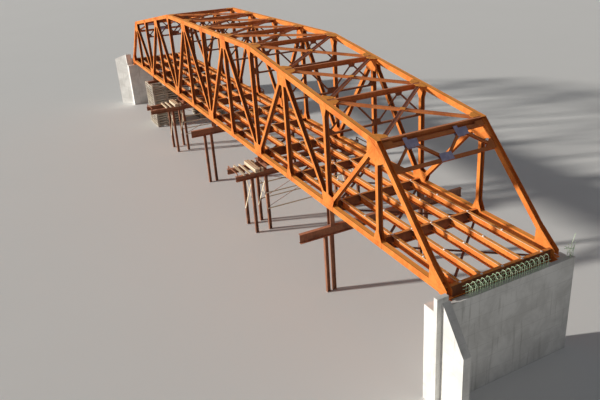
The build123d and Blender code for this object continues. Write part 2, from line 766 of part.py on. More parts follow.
def bent_caps():
    solids = []
    for joint, plan, stack, (right, left), _ in BENTS:
        tower = plan == "tower"
        depth = TOWER_CAP_DEPTH if tower else CAP_DEPTH
        lines = (-TOWER_LENGTH / 2, TOWER_LENGTH / 2) if tower else (0.0,)
        level = bent_level(stack) - depth / 2
        for line in lines:
            start = Vector(joint_x(joint) + line, -TRUSS_SPACING / 2 - right, level)
            end = Vector(joint_x(joint) + line, TRUSS_SPACING / 2 + left, level)
            solids.append(beam(i_section(depth, CAP_WIDTH, CAP_FLANGE), start, end, UP))
    return solids


def bent_headers():
    """Short beams that carry each truss on two tower caps or on its crib."""
    solids = []
    half = Vector((TOWER_LENGTH + CAP_WIDTH) / 2, 0, 0)
    for joint, plan, stack, _, _ in BENTS:
        if plan == "tower":
            for side in SIDES.values():
                level = bent_level(stack) + HEADER_DEPTH / 2
                centre = Vector(joint_x(joint), side * TRUSS_SPACING / 2, level)
                section = i_section(HEADER_DEPTH, CAP_WIDTH, CAP_FLANGE)
                solids.append(beam(section, centre - half, centre + half, UP))
    section = i_section(CRIB_HEADER, CAP_WIDTH, CAP_FLANGE)
    for side in SIDES.values():
        outer = TRUSS_SPACING / 2 + CRIB_OUTER
        level = bent_level(CRIB_STACK) + CRIB_HEADER / 2
        start = Vector(joint_x(CRIB_JOINT), side * outer, level)
        solids.append(beam(section, start, start - Y_AXIS * (side * CRIB_WIDTH), UP))
    return solids


def stool_spots():
    """Foot and height of each stool, and its joint."""
    spots = [(joint, stack, HEADER_DEPTH if plan == "tower" else 0.0)
             for joint, plan, stack, _, _ in BENTS]
    return spots + [(CRIB_JOINT, CRIB_STACK, CRIB_HEADER)]


def bent_stools():
    """Stiff stools that carry each chord on the bents and cribs."""
    solids = []
    section = i_section(STOOL_LENGTH, MEMBER_DEPTH, CAP_FLANGE, CAP_FLANGE)
    for joint, stack, header in stool_spots():
        for side in SIDES.values():
            foot = Vector(joint_x(joint), side * TRUSS_SPACING / 2, bent_level(stack) + header)
            head = foot + UP * (stack - header)
            solids.append(beam(section, foot, head, Vector(1, 0, 0)))
    return solids


def bent_piles():
    solids = []
    section = i_section(PILE, PILE, CAP_FLANGE)
    for joint, plan, stack, _, offsets in BENTS:
        tower = plan == "tower"
        lines = (-TOWER_LENGTH / 2, TOWER_LENGTH / 2) if tower else (0.0,)
        top = bent_level(stack) - (TOWER_CAP_DEPTH if tower else CAP_DEPTH)
        for side in SIDES.values():
            for offset in offsets:
                for line in lines:
                    foot = Vector(joint_x(joint) + line, side * (TRUSS_SPACING / 2 + offset), 0)
                    solids.append(beam(section, foot, foot + UP * top, Y_AXIS))
    return solids


def tower_braces():
    """Crossed boards on the two faces of each pile pair along the bridge."""
    solids = []
    board = Rectangle(BOARD_WIDTH, BOARD)
    for joint, plan, stack, _, offsets in BENTS:
        if plan != "tower":
            continue
        high = bent_level(stack) - TOWER_CAP_DEPTH - BRACE_TOP
        for side in SIDES.values():
            for offset in offsets:
                y = side * (TRUSS_SPACING / 2 + offset)
                for rise in (-1, 1):
                    face = y + rise * (PILE + BOARD) / 2
                    reach = TOWER_LENGTH / 2
                    a = Vector(joint_x(joint) - reach, face, high if rise > 0 else BRACE_FOOT)
                    b = Vector(joint_x(joint) + reach, face, BRACE_FOOT if rise > 0 else high)
                    solids.append(beam(board, a, b, Y_AXIS))
    return solids


def tower_ties():
    """Timber ties and thin crossed rods between the towers of one bent."""
    ties, rods = [], []
    along = Vector(1, 0, 0)
    for joint, plan, stack, _, offsets in BENTS:
        if plan != "tower":
            continue
        inner = TRUSS_SPACING / 2 + offsets[0]
        for edge in (-1, 1):
            x = joint_x(joint) + edge * (TOWER_LENGTH / 2 + (PILE + BOARD) / 2)
            for level in (LOW_TIE_LEVEL, HIGH_TIE_LEVEL):
                a = Vector(x, -inner - PILE / 2, level)
                b = Vector(x, inner + PILE / 2, level)
                ties.append(beam(Rectangle(TIE_WIDTH, BOARD), a, b, along))
            inside = joint_x(joint) + edge * (TOWER_LENGTH / 2 - PILE / 2 - ROD / 2)
            low, high = LOW_TIE_LEVEL, bent_level(stack) - TOWER_CAP_DEPTH - ROD
            a, b = Vector(inside, -inner, low), Vector(inside, inner, high)
            rods.append(beam(Rectangle(ROD, ROD), a, b, along))
            c, d = Vector(inside, inner, low), Vector(inside, -inner, high)
            middle, way = (c + d) * 0.5, unit(c, d)
            rods.append(beam(Rectangle(ROD, ROD), c, middle - way * 2 * ROD, along))
            rods.append(beam(Rectangle(ROD, ROD), middle + way * 2 * ROD, d, along))
    return ties, rods


def timber(x, y, z, length, width, depth):
    """A level timber with one long lower edge at Y = y, middle of its length at X = x."""
    low = (Align.CENTER, Align.MIN, Align.MIN)
    return Pos(x, y, z) * Box(length, width, depth, align=low)


def platforms():
    """Stacked timbers, blocks and low end rails on the tower caps outside the trusses."""
    planks, rails = [], []
    span = TOWER_LENGTH + CAP_WIDTH
    for joint, plan, stack, overhangs, _ in BENTS:
        if plan != "tower":
            continue
        level = bent_level(stack)
        for side, overhang in zip((RIGHT, LEFT), overhangs):
            pieces = []
            length = span + 2 * TIMBER_OVERHANG
            for line in (INNER_STACK_LINE, OUTER_STACK_LINE):
                for layer in range(TIMBER_LAYERS):
                    pieces.append(timber(0, line, layer * TIMBER_DEPTH, length, TIMBER, TIMBER_DEPTH))
            for line in (INNER_LOOSE_LINE, OUTER_LOOSE_LINE):
                pieces.append(timber(0, line, 0, length, LOOSE_TIMBER, LOOSE_TIMBER))
            for x in (-TOWER_LENGTH / 2, TOWER_LENGTH / 2):
                pieces.append(timber(x, BLOCK_LINE, 0, 2 * BLOCK, BLOCK, BLOCK_HEIGHT))
            edge = overhang - RAIL_MARGIN - RAIL
            frame = timber(0, edge, RAIL_HEIGHT - RAIL, span, RAIL, RAIL)
            for x in (-1, 1):
                frame = frame + timber(x * (span - RAIL) / 2, edge, 0, RAIL, RAIL, RAIL_HEIGHT)
            place = Pos(joint_x(joint), side * TRUSS_SPACING / 2, level) * Rot(0, 0, 90 * (1 - side))
            planks += [place * piece for piece in pieces]
            rails.append(place * frame)
    return planks, rails


def crib():
    """Sleepers laid in courses, every other course across the bridge."""
    along, across = [], []
    course = bent_level(CRIB_STACK) / CRIB_COURSES
    low = (Align.CENTER, Align.CENTER, Align.MIN)
    for side in SIDES.values():
        outer = TRUSS_SPACING / 2 + CRIB_OUTER
        centre = side * (outer - CRIB_WIDTH / 2)
        for k in range(CRIB_COURSES):
            for row in range(CRIB_ROWS):
                share = row / (CRIB_ROWS - 1) - 0.5
                if k % 2:
                    spot = Pos(joint_x(CRIB_JOINT) + share * (CRIB_LENGTH - SLEEPER_WIDTH),
                               centre, k * course)
                    across.append(spot * Box(SLEEPER_WIDTH, CRIB_WIDTH, course, align=low))
                else:
                    spot = Pos(joint_x(CRIB_JOINT),
                               centre + share * (CRIB_WIDTH - SLEEPER_WIDTH), k * course)
                    along.append(spot * Box(CRIB_LENGTH, SLEEPER_WIDTH, course, align=low))
    return along, across


def write(name, solids):
    export_step(Compound(children=[*solids]), f"parts/{name}.step")


def at_side(solids, side):
    return [Pos(0, side * TRUSS_SPACING / 2, 0) * solid for solid in solids]


os.makedirs("parts", exist_ok=True)
top = top_members()
truss = {
    "bottom_chord": bottom_chord(),
    "end_posts": [top[0], top[-1]],
    "top_chord": top[1:-1],
    "verticals": verticals(),
    "diagonals": diagonals(),
    "lower_gussets": lower_gussets(),
    "upper_gussets": upper_gussets(),
}
for side_name, side in SIDES.items():
    for name, solids in truss.items():
        write(f"{side_name}_truss_{name}", at_side(solids, side))
sway_struts, sway_braces, sway_plates = sway_frames()
portal_struts, portal_braces, portal_gussets = portals()
ties, rods = tower_ties()
planks, rails = platforms()
crib_along, crib_across = crib()
front_block, front_walls, front_wings = front_abutment()
back_block, back_walls, back_wings = back_abutment()
pieces = {
    "floor_beams": floor_beams(),
    "stringers": stringers(),
    "bottom_laterals": bottom_laterals(),
    "bottom_lateral_plates": bottom_plates(),
    "top_struts": top_struts(),
    "top_laterals": top_laterals(),
    "lateral_plates": lateral_plates(),
    "sway_struts": sway_struts,
    "sway_braces": sway_braces,
    "sway_plates": sway_plates,
    "portal_struts": portal_struts,
    "portal_braces": portal_braces,
    "portal_plates": portal_gussets,
    "bearings": bearings(),
    "front_abutment": [front_block],
    "back_abutment": [back_block],
    "abutment_back_walls": front_walls + back_walls,
    "abutment_wing_walls": front_wings + back_wings,
    "bent_piles": bent_piles(),
    "bent_caps": bent_caps(),
    "bent_headers": bent_headers(),
    "bent_stools": bent_stools(),
    "tower_braces": tower_braces(),
    "tower_ties": ties,
    "tower_rods": rods,
    "platform_planks": planks,
    "platform_rails": rails,
    "crib_sleepers_along": crib_along,
    "crib_sleepers_across": crib_across,
}
for name, solids in pieces.items():
    write(name, solids)
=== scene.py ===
"""Looks of a camelback through truss road bridge on its temporary bents.

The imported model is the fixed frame. This file adds finishes, fasteners, floor fittings, timber,
studio and camera. Lengths are metres of the model. X runs along the bridge, Y across, Z up.
"""

import logging
import math
from collections.abc import Iterator
from dataclasses import dataclass
from enum import Enum

import bpy
import numpy as np
from mathutils import Matrix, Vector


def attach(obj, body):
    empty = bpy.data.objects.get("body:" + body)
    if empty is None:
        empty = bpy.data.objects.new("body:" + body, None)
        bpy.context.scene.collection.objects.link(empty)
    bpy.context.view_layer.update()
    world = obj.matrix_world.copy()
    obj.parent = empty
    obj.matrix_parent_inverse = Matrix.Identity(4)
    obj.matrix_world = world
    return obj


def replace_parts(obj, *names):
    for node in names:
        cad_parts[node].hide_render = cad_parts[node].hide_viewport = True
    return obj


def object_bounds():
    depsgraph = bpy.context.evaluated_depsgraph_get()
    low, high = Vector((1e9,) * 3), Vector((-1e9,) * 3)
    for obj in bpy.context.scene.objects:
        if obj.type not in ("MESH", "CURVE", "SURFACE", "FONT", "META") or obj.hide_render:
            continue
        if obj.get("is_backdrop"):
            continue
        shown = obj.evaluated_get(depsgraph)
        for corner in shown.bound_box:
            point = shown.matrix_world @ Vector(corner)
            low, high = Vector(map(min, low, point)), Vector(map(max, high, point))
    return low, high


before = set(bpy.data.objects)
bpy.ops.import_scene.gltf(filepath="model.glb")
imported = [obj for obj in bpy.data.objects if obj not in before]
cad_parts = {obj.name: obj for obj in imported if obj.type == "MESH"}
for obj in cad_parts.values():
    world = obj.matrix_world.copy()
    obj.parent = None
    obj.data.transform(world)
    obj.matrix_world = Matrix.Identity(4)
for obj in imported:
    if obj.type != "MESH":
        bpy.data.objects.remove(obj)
CAD_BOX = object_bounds()

LOG = logging.getLogger("bridge")
Array = np.ndarray
Triple = tuple[float, float, float]
Spots = list[tuple[float, float]]
Plate = tuple[Array, Array, Array, Array, Spots]
Socket = bpy.types.NodeSocket
Value = Socket | Triple | float
Material = bpy.types.Material

X_AXIS, Y_AXIS, Z_AXIS = np.eye(3)
BOTH = (-1.0, 1.0)
TOWERS = (4, 8)
WHITE = (1.0, 1.0, 1.0)


class Grain(Enum):
    """Direction in which the fibres of a timber run."""

    ALONG = "x"
    ACROSS = "y"
    SLOPING = "z"


class Ray(Enum):
    """Outputs of the light path that see the bright background."""

    CAMERA = "Is Camera Ray"
    GLOSSY = "Is Glossy Ray"
    TRANSMISSION = "Is Transmission Ray"


# Surfaces


@dataclass
class Surface:
    """Points and faces of one or more closed forms.

    Attributes:
        points: Corner positions, shape (n, 3).
        quads: Corner numbers of the four-sided faces, shape (m, 4).
        triangles: Corner numbers of the three-sided faces, shape (k, 3).
    """

    points: Array
    quads: Array
    triangles: Array

    def spread(self, points: Array) -> "Surface":
        """The same faces on many sets of points, shape (k, n, 3)."""
        shift = (np.arange(len(points)) * len(self.points))[:, None, None]
        return Surface(points.reshape(-1, 3), (self.quads + shift).reshape(-1, 4),
                       (self.triangles + shift).reshape(-1, 3))

    def copies(self, origins: Array, axes: Array = np.eye(3)) -> "Surface":
        """Place this surface many times.

        The point p goes to origin + p[0]*a + p[1]*b + p[2]*c, where a, b, c are the rows of
        axes. Axes that mirror the surface turn its faces round, so they still point outwards.

        Args:
            origins: Places of the copies, shape (k, 3).
            axes: The three axes of the copies as rows.

        Returns:
            One surface that holds every copy.
        """
        way = int(np.sign(np.linalg.det(axes)))
        one = Surface(self.points, self.quads[:, ::way], self.triangles[:, ::way])
        return one.spread(self.points @ axes + np.asarray(origins)[:, None, :])

    @staticmethod
    def joined(parts: list["Surface"]) -> "Surface":
        """Put several surfaces into one, with the corner numbers moved along."""
        starts = np.cumsum([0] + [len(part.points) for part in parts[:-1]])
        points = np.concatenate([part.points for part in parts])
        quads = np.concatenate([part.quads + s for part, s in zip(parts, starts)])
        triangles = np.concatenate([part.triangles + s for part, s in zip(parts, starts)])
        return Surface(points, quads, triangles)


def lofted(rings: Array) -> Surface:
    """Skin a closed tube over rings of corners and close its two ends.

    Ring u and corner v give the point rings[u, v]. Neighbours in u and v make the sides, and a
    fan from corner 0 closes each end, so the rings are convex and run anticlockwise seen from
    the last ring.

    Args:
        rings: Points on a grid of rings and corners, shape (rows, corners, 3).

    Returns:
        The closed surface.
    """
    rows, corners = rings.shape[:2]
    u, v = np.meshgrid(np.arange(rows - 1), np.arange(corners), indexing="ij")
    w = (v + 1) % corners
    quads = np.stack([u * corners + v, u * corners + w, (u + 1) * corners + w,
                      (u + 1) * corners + v], axis=-1).reshape(-1, 4)
    first, second = np.arange(1, corners - 1), np.arange(2, corners)
    foot = np.stack([np.zeros_like(first), second, first], axis=-1)
    top = np.stack([np.zeros_like(first), first, second], axis=-1) + (rows - 1) * corners
    return Surface(rings.reshape(-1, 3), quads, np.concatenate([foot, top]))


def turned(radii: Array, heights: Array, sides: int) -> Surface:
    """Turn a profile about Z.

    The point at angle t and row k is (radii[k] cos t, radii[k] sin t, heights[k]).

    Args:
        radii: Radius of each row, from the foot up.
        heights: Height of each row.
        sides: Corners of each ring.

    Returns:
        The closed surface.
    """
    t = np.arange(sides) * 2 * np.pi / sides
    circle = np.stack([np.cos(t), np.sin(t)], axis=-1)
    flat = np.asarray(radii)[:, None, None] * circle[None]
    level = np.broadcast_to(np.asarray(heights)[:, None, None], flat.shape[:2] + (1,))
    return lofted(np.concatenate([flat, level], axis=-1))


def angle_piece(leg: float, thickness: float, length: float) -> Surface:
    """An L section of two legs, along X and Y, that rises along Z.

    Args:
        leg: Length of both legs.
        thickness: Thickness of both legs.
        length: Length along Z.

    Returns:
        Two closed slabs that meet on the corner.
    """
    spots = np.array([[[0, 0], [leg, 0], [leg, thickness], [0, thickness]],
                      [[0, thickness], [thickness, thickness], [thickness, leg], [0, leg]]])
    slabs = []
    for outline in spots:
        rings = np.stack([np.column_stack([outline, np.full(4, z)]) for z in (0.0, length)])
        slabs.append(lofted(rings))
    return Surface.joined(slabs)


def bolt_head(radius: float = 0.0022, height: float = 0.0015) -> Surface:
    """A hexagon bolt head with a chamfered top, its foot just below the origin."""
    return turned(np.array([1.0, 1.0, 0.8]) * radius, np.array([-0.2, 0.75, 1.0]) * height, 6)


def unit(vector: Array) -> Array:
    """The same direction with length one, row by row where there are several."""
    return vector / np.linalg.norm(vector, axis=-1, keepdims=True)


def bar_along(path: Array, guide: Array, radius: float) -> Surface:
    """A round bar of six sides that follows a path.

    Ring k has its centre on point k and lies across the mean direction of the two pieces of the
    path that meet there. Its corner at angle t is radius * (cos t * start + sin t * side) away,
    where start is the guide made square to that direction, and side is square to both.

    Args:
        path: Points of the path, shape (n, 3).
        guide: A direction that the path never takes.
        radius: Radius of the bar.

    Returns:
        The closed bar.
    """
    way = unit(np.gradient(path, axis=0))
    side = unit(np.cross(way, guide))
    start = np.cross(side, way)
    t = (np.arange(6) * np.pi / 3)[None, :, None]
    return lofted(path[:, None] + radius * (np.cos(t) * start[:, None]
                                            + np.sin(t) * side[:, None]))


def sawn_timbers(starts: Array, ends: Array, sizes: Array, chamfer: float,
                 seed: int) -> Surface:
    """Level sawn pieces with chamfered edges, a little bow and worn ends.

    Each piece carries a rectangle of width a and depth b, its corners cut at 45 degrees, along
    the line from start to end. Station s is shifted by a sine bow of half a period, less than
    the piece is thinner than its block, so it never leaves the block.

    Args:
        starts: Start of each centre line, shape (k, 3).
        ends: End of each centre line, shape (k, 3).
        sizes: Width and depth, shape (k, 2).
        chamfer: Size of the cut corners.
        seed: Seed of the small differences.

    Returns:
        One surface with every piece.
    """
    chance = np.random.default_rng(seed)
    count = len(starts)
    axis = unit(ends - starts)
    across = unit(np.cross(Z_AXIS, axis))[:, None, None]
    depth = np.cross(axis[:, None, None], across)
    corner = np.array([[1, 1, -1, 0], [1, 1, 0, -1], [-1, 1, 0, -1], [-1, 1, 1, 0],
                       [-1, -1, 1, 0], [-1, -1, 0, 1], [1, -1, 0, 1], [1, -1, -1, 0]], float)
    half = sizes[:, None] / 2 - chamfer * (0.2 + 0.25 * chance.random((count, 1, 2)))
    ring = corner[:, :2] * half + chamfer * corner[:, 2:]
    stations = np.array([0.0, 0.004, 0.5, 0.996, 1.0])[:, None]
    worn = np.where(stations % 1 == 0, 0.9, 1.0)[..., None]
    bow = chamfer * 0.35 * (chance.random((count, 1, 2)) - 0.5)
    local = ring[:, None] * worn + (np.sin(np.pi * stations) * bow)[:, :, None]
    centre = starts[:, None] + (ends - starts)[:, None] * stations
    points = centre[:, :, None] + local[..., :1] * across + local[..., 1:] * depth
    return lofted(points[0]).spread(points)


# Layout of the bridge, the same values as in the model


@dataclass(frozen=True)
class Layout:
    """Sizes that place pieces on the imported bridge."""

    panels: int = 12
    panel: float = 0.762
    spacing: float = 0.932
    chord_line: float = 0.820
    hip_rise: float = 0.770
    crown_rise: float = 1.104
    crown_joint: int = 4
    member_depth: float = 0.040
    gusset: float = 0.002
    floor_rise: float = 0.032
    strut_depth: float = 0.044
    seat: float = 0.750
    tower_cap_top: float = 0.680
    tower_length: float = 0.250
    cap_width: float = 0.036
    stringers: int = 5
    stringer_spacing: float = 0.178

    def joint_x(self, joint: float) -> float:
        """X of a joint, counted from the front end."""
        return (self.panels / 2 - joint) * self.panel

    def top_rise(self, joint: int) -> float:
        """Height of the top chord line over the bottom one."""
        from_end = min(joint, self.panels - joint)
        slope = (self.crown_rise - self.hip_rise) / (self.crown_joint - 1)
        return min(self.crown_rise, self.hip_rise + slope * (from_end - 1))

    def lower(self, joint: float, y: float = 0.0) -> Array:
        """A joint on the bottom chord line."""
        return np.array([self.joint_x(joint), y, self.chord_line])

    def upper(self, joint: int, y: float = 0.0) -> Array:
        """A joint on the top chord line."""
        return np.array([self.joint_x(joint), y, self.chord_line + self.top_rise(joint)])

    def diagonals(self) -> list[tuple[int, int]]:
        """Upper and lower joint of each diagonal."""
        pairs = [(top, foot) for top in range(1, self.panels, 2) for foot in (top - 1, top + 1)]
        return [pair for pair in pairs if 0 < pair[1] < self.panels]

    @property
    def inner_face(self) -> float:
        """Y of the inner faces of the gussets."""
        return self.spacing / 2 - self.member_depth / 2 - self.gusset

    @property
    def chord_face(self) -> float:
        """Y of the inner flange faces of the truss members."""
        return self.spacing / 2 - self.member_depth / 2

    @property
    def floor_top(self) -> float:
        """Height of the tops of the floor steel."""
        return self.chord_line + self.floor_rise


# Finishes


class Tree:
    """Writes the nodes of one material or world."""

    def __init__(self, tree: bpy.types.NodeTree) -> None:
        """Start with an empty tree."""
        self.tree = tree
        tree.nodes.clear()

    def join(self, value: Value, socket: Socket) -> None:
        """Link a socket to an input, or write a constant there."""
        if isinstance(value, bpy.types.NodeSocket):
            self.tree.links.new(value, socket)
        elif isinstance(value, tuple):
            socket.default_value = (*value, 1.0) if len(socket.default_value) == 4 else value
        else:
            socket.default_value = value

    def add(self, kind: str, inputs: dict[int | str, Value] | None = None,
            **settings: object) -> bpy.types.Node:
        """Add a node.

        Args:
            kind: Type of the node, without the word that all shader nodes start with.
            inputs: What goes into its inputs, by their number or name.
            settings: Its properties.

        Returns:
            The node.
        """
        node = self.tree.nodes.new("ShaderNode" + kind)
        for key, value in settings.items():
            setattr(node, key, value)
        for key, value in (inputs or {}).items():
            self.join(value, node.inputs[key])
        return node

    def math(self, operation: str, *values: Value) -> Socket:
        """Combine numbers with one operation."""
        return self.add("Math", dict(enumerate(values)), operation=operation).outputs[0]


class Painter(Tree):
    """Writes one procedural material, colour over colour."""

    def __init__(self, name: str, ground: Triple) -> None:
        """Start a material with one shader.

        Args:
            name: Name of the material.
            ground: Colour that the others lie on.
        """
        self.material = bpy.data.materials.new(name)
        self.material.use_nodes = True
        super().__init__(self.material.node_tree)
        self.colour: Value = ground
        self.shader = self.add("BsdfPrincipled")
        self.add("OutputMaterial", {"Surface": self.shader.outputs["BSDF"]})
        self.place = self.add("TexCoord").outputs["Object"]
        self.normal = self.add("NewGeometry").outputs["Normal"]

    def times(self, first: Value, second: Value) -> Socket:
        """The product of two numbers."""
        return self.math("MULTIPLY", first, second)

    def noise(self, scale: float, detail: float, stretch: Triple | None = None,
              rough: float = 0.55, bend: float = 0.0) -> Socket:
        """Cloudy noise on Object coordinates.

        Args:
            scale: Clouds to a metre.
            detail: Octaves.
            stretch: Factors on the coordinates, which draw the clouds out on an axis.
            rough: Share of each finer octave.
            bend: How far the clouds are drawn out of shape.

        Returns:
            The noise, about 0 to 1.
        """
        place = self.place
        if stretch:
            place = self.add("Mapping", {"Vector": place, "Scale": stretch}).outputs["Vector"]
        inputs = {"Vector": place, "Scale": scale, "Detail": detail, "Roughness": rough,
                  "Distortion": bend}
        return self.add("TexNoise", inputs).outputs["Fac"]

    def ramp(self, factor: Socket, low: float, high: float, start: float = 0.0,
             end: float = 1.0) -> Socket:
        """Map low to start and high to end smoothly, and hold both beyond."""
        inputs = {"Value": factor, "From Min": low, "From Max": high, "To Min": start,
                  "To Max": end}
        return self.add("MapRange", inputs, interpolation_type="SMOOTHSTEP").outputs["Result"]

    def lay(self, colour: Triple | Socket, factor: Value) -> None:
        """Lay a colour over what is there."""
        self.colour = self.mix(factor, self.colour, colour)
        self.join(self.colour, self.shader.inputs["Base Color"])

    def mix(self, factor: Value, first: Value, second: Value) -> Socket:
        """Blend two colours."""
        return self.add("Mix", {0: factor, 6: first, 7: second}, data_type="RGBA").outputs[2]

    def part(self, vector: Socket, axis: str) -> Socket:
        """One coordinate of a vector."""
        return self.add("SeparateXYZ", {0: vector}).outputs[axis]

    def near(self, value: Socket, inner: float, outer: float) -> Socket:
        """1 where a number is within inner of zero and 0 beyond outer."""
        return self.ramp(self.math("ABSOLUTE", value), inner, outer, 1.0, 0.0)

    def upright(self) -> Socket:
        """1 on standing faces and 0 on level ones."""
        return self.near(self.part(self.normal, "Z"), 0.45, 0.85)

    def relief(self, height: Socket, distance: float, strength: float) -> None:
        """Raise the surface by a height map, in metres."""
        bump = self.add("Bump", {"Strength": strength, "Distance": distance, "Height": height})
        self.join(bump.outputs["Normal"], self.shader.inputs["Normal"])

    def roughen(self, factor: Socket, low: float, high: float) -> None:
        """Roughness from low to high where a noise goes from 0.3 to 0.7."""
        self.join(self.ramp(factor, 0.3, 0.7, low, high), self.shader.inputs["Roughness"])


@dataclass(frozen=True)
class Coat:
    """A finish with the name of its material."""

    name: str

    def material(self) -> Material:
        """Make the material."""
        raise NotImplementedError


@dataclass(frozen=True)
class RustedSteel(Coat):
    """Weathering steel with rust skin, pits, rain streaks, dust and painted light on tops, and
    painted shade.

    Attributes:
        bright: Colour of fresh rust.
        deep: Colour of older rust.
        pit: Colour of the darkest specks.
        dust_and_top_light: Colour laid on the tops: dust, and where it is brighter than the rust,
            also painted light on the tops.
        dust_and_top_light_most: Most of that top layer, 0 to 1.
        streaks: Most of the rain streaks, 0 to 1.
        painted_shade: How far painted shade darkens the faces that don't look across the bridge, 0
            to 1.
    """

    bright: Triple = (0.78, 0.252, 0.046)
    deep: Triple = (0.64, 0.162, 0.024)
    pit: Triple = (0.32, 0.080, 0.020)
    dust_and_top_light: Triple = (0.74, 0.33, 0.14)
    dust_and_top_light_most: float = 0.35
    streaks: float = 0.30
    painted_shade: float = 0.0

    def paint(self) -> Painter:
        """Lay the rust, specks, streaks, dust with painted light on the tops, and painted shade
        over each other.
        """
        painter = Painter(self.name, self.bright)
        clouds = painter.noise(7.0, 6.0, rough=0.6, bend=0.4)
        blotch = painter.noise(38.0, 5.0, rough=0.65)
        fine = painter.noise(260.0, 3.0, rough=0.7)
        long = painter.noise(1.0, 5.0, (95.0, 95.0, 6.0), rough=0.6)
        painter.lay(self.deep, painter.ramp(clouds, 0.40, 0.68))
        painter.lay(self.deep, painter.ramp(blotch, 0.50, 0.74, 0.0, 0.7))
        painter.lay(self.pit, painter.ramp(fine, 0.55, 0.72, 0.0, 0.45))
        painter.lay(self.pit, painter.times(
            painter.ramp(long, 0.52, 0.70, 0.0, self.streaks), painter.upright()))
        # Dust on the up-facing faces; in the floor, stringer and cover finishes its bright orange
        # is also painted light on the tops.
        painter.lay(self.dust_and_top_light, painter.times(
            painter.ramp(painter.part(painter.normal, "Z"), 0.6, 0.95),
            painter.ramp(blotch, 0.30, 0.62, self.dust_and_top_light_most * 0.4, self.dust_and_top_light_most)))
        # Painted shade: the pit colour darkens the faces that don't look across the bridge,
        # standing for the shade in the troughs of the H members.
        across = painter.math("ABSOLUTE", painter.part(painter.normal, "Y"))
        painter.lay(self.pit, painter.ramp(across, 0.3, 0.7, self.painted_shade, 0.0))
        painter.relief(painter.math("ADD", fine, painter.times(blotch, 0.8)), 0.0009, 0.45)
        rough = painter.ramp(blotch, 0.3, 0.75, 0.72, 0.93)
        painter.join(rough, painter.shader.inputs["Roughness"])
        painter.join(0.30, painter.shader.inputs["Specular IOR Level"])
        return painter

    def material(self) -> Material:
        """Make the material."""
        return self.paint().material


@dataclass(frozen=True)
class HighlightedStringerSteel(RustedSteel):
    """The same steel with a painted highlight, a pale line along the sunward edge of each
    stringer's top flange.

    Attributes:
        line: Colour of the painted highlight.
        place: Y of the middle of the line from that of its stringer.
        half: Half the width of the line.
        thickness: Thickness of the flange.
    """

    line: Triple = (0.95, 0.66, 0.42)
    place: float = -0.0115
    half: float = 0.0040
    thickness: float = 0.0030

    def material(self) -> Material:
        """Make the steel, with the painted highlight laid over its tops."""
        painter, lay = self.paint(), Layout()
        # Painted highlight: a pale line on the -Y edge of each top flange, the edge that faces the
        # key light.
        shifted = painter.math("SUBTRACT", painter.part(painter.place, "Y"), self.place)
        turn = painter.math("DIVIDE", shifted, lay.stringer_spacing)
        away = painter.math("SUBTRACT", turn, painter.math("ROUND", turn))
        share = self.half / lay.stringer_spacing
        # Noise that breaks the painted highlight along its length.
        worn = painter.ramp(painter.noise(60.0, 4.0), 0.30, 0.55, 0.45, 1.0)
        level = painter.math("SUBTRACT", painter.part(painter.place, "Z"), lay.floor_top)
        flange = painter.near(level, self.thickness, self.thickness * 1.2)
        highlight_band = painter.times(painter.near(away, share * 0.6, share), worn)
        painter.lay(self.line, painter.times(highlight_band, flange))
        return painter.material


@dataclass(frozen=True)
class PortalPlate(RustedSteel):
    """New plate with blue-grey mill scale in the middle of the portals, rusted steel beside.

    Attributes:
        scale: Colour of the mill scale.
        pale: Its paler clouds.
        reach: Y up to which the plates are new.
    """

    scale: Triple = (0.36, 0.34, 0.50)
    pale: Triple = (0.50, 0.47, 0.64)
    reach: float = 0.32

    def material(self) -> Material:
        """Make the steel, with mill scale over the middle."""
        painter = self.paint()
        clouds = painter.noise(22.0, 6.0, rough=0.6, bend=0.8)
        colour = painter.mix(painter.ramp(clouds, 0.36, 0.66), self.scale, self.pale)
        flaw = painter.ramp(painter.noise(120.0, 4.0, rough=0.75), 0.60, 0.72, 0.0, 0.55)
        middle = painter.near(painter.part(painter.place, "Y"), self.reach, self.reach + 0.01)
        painter.lay(painter.mix(flaw, colour, self.deep), middle)
        return painter.material


@dataclass(frozen=True)
class CastConcrete(Coat):
    """Pale concrete with panel joints, tie holes, air holes and damp streaks.

    Attributes:
        light: Main colour.
        grey: Colour of its clouds.
        damp: Colour of streaks, holes and joints.
        joint_pitch: Height between two level joints of the form boards.
    """

    light: Triple = (0.84, 0.83, 0.80)
    grey: Triple = (0.66, 0.65, 0.62)
    damp: Triple = (0.40, 0.39, 0.35)
    joint_pitch: float = 0.120

    def material(self) -> Material:
        """Make the material."""
        painter = Painter(self.name, self.light)
        clouds = painter.noise(5.0, 7.0, rough=0.62, bend=0.5)
        painter.lay(self.grey, painter.ramp(clouds, 0.35, 0.68))
        long = painter.noise(1.0, 5.0, (34.0, 34.0, 2.2), rough=0.6)
        painter.lay(self.damp, painter.times(
            painter.ramp(long, 0.54, 0.74, 0.0, 0.55), painter.upright()))
        holes = painter.ramp(painter.noise(150.0, 2.0), 0.70, 0.76)
        painter.lay(self.damp, painter.times(holes, 0.6))
        level = painter.math("DIVIDE", painter.part(painter.place, "Z"), self.joint_pitch)
        line = painter.ramp(painter.math("PINGPONG", level, 0.5), 0.0, 0.018, 1.0, 0.0)
        seams = painter.times(line, painter.upright())
        painter.lay(self.damp, painter.times(seams, 0.45))
        grain = painter.noise(420.0, 4.0, rough=0.7)
        marks = painter.math("ADD", seams, holes)
        painter.relief(painter.math("SUBTRACT", grain, marks), 0.0012, 0.4)
        painter.roughen(clouds, 0.80, 0.92)
        return painter.material


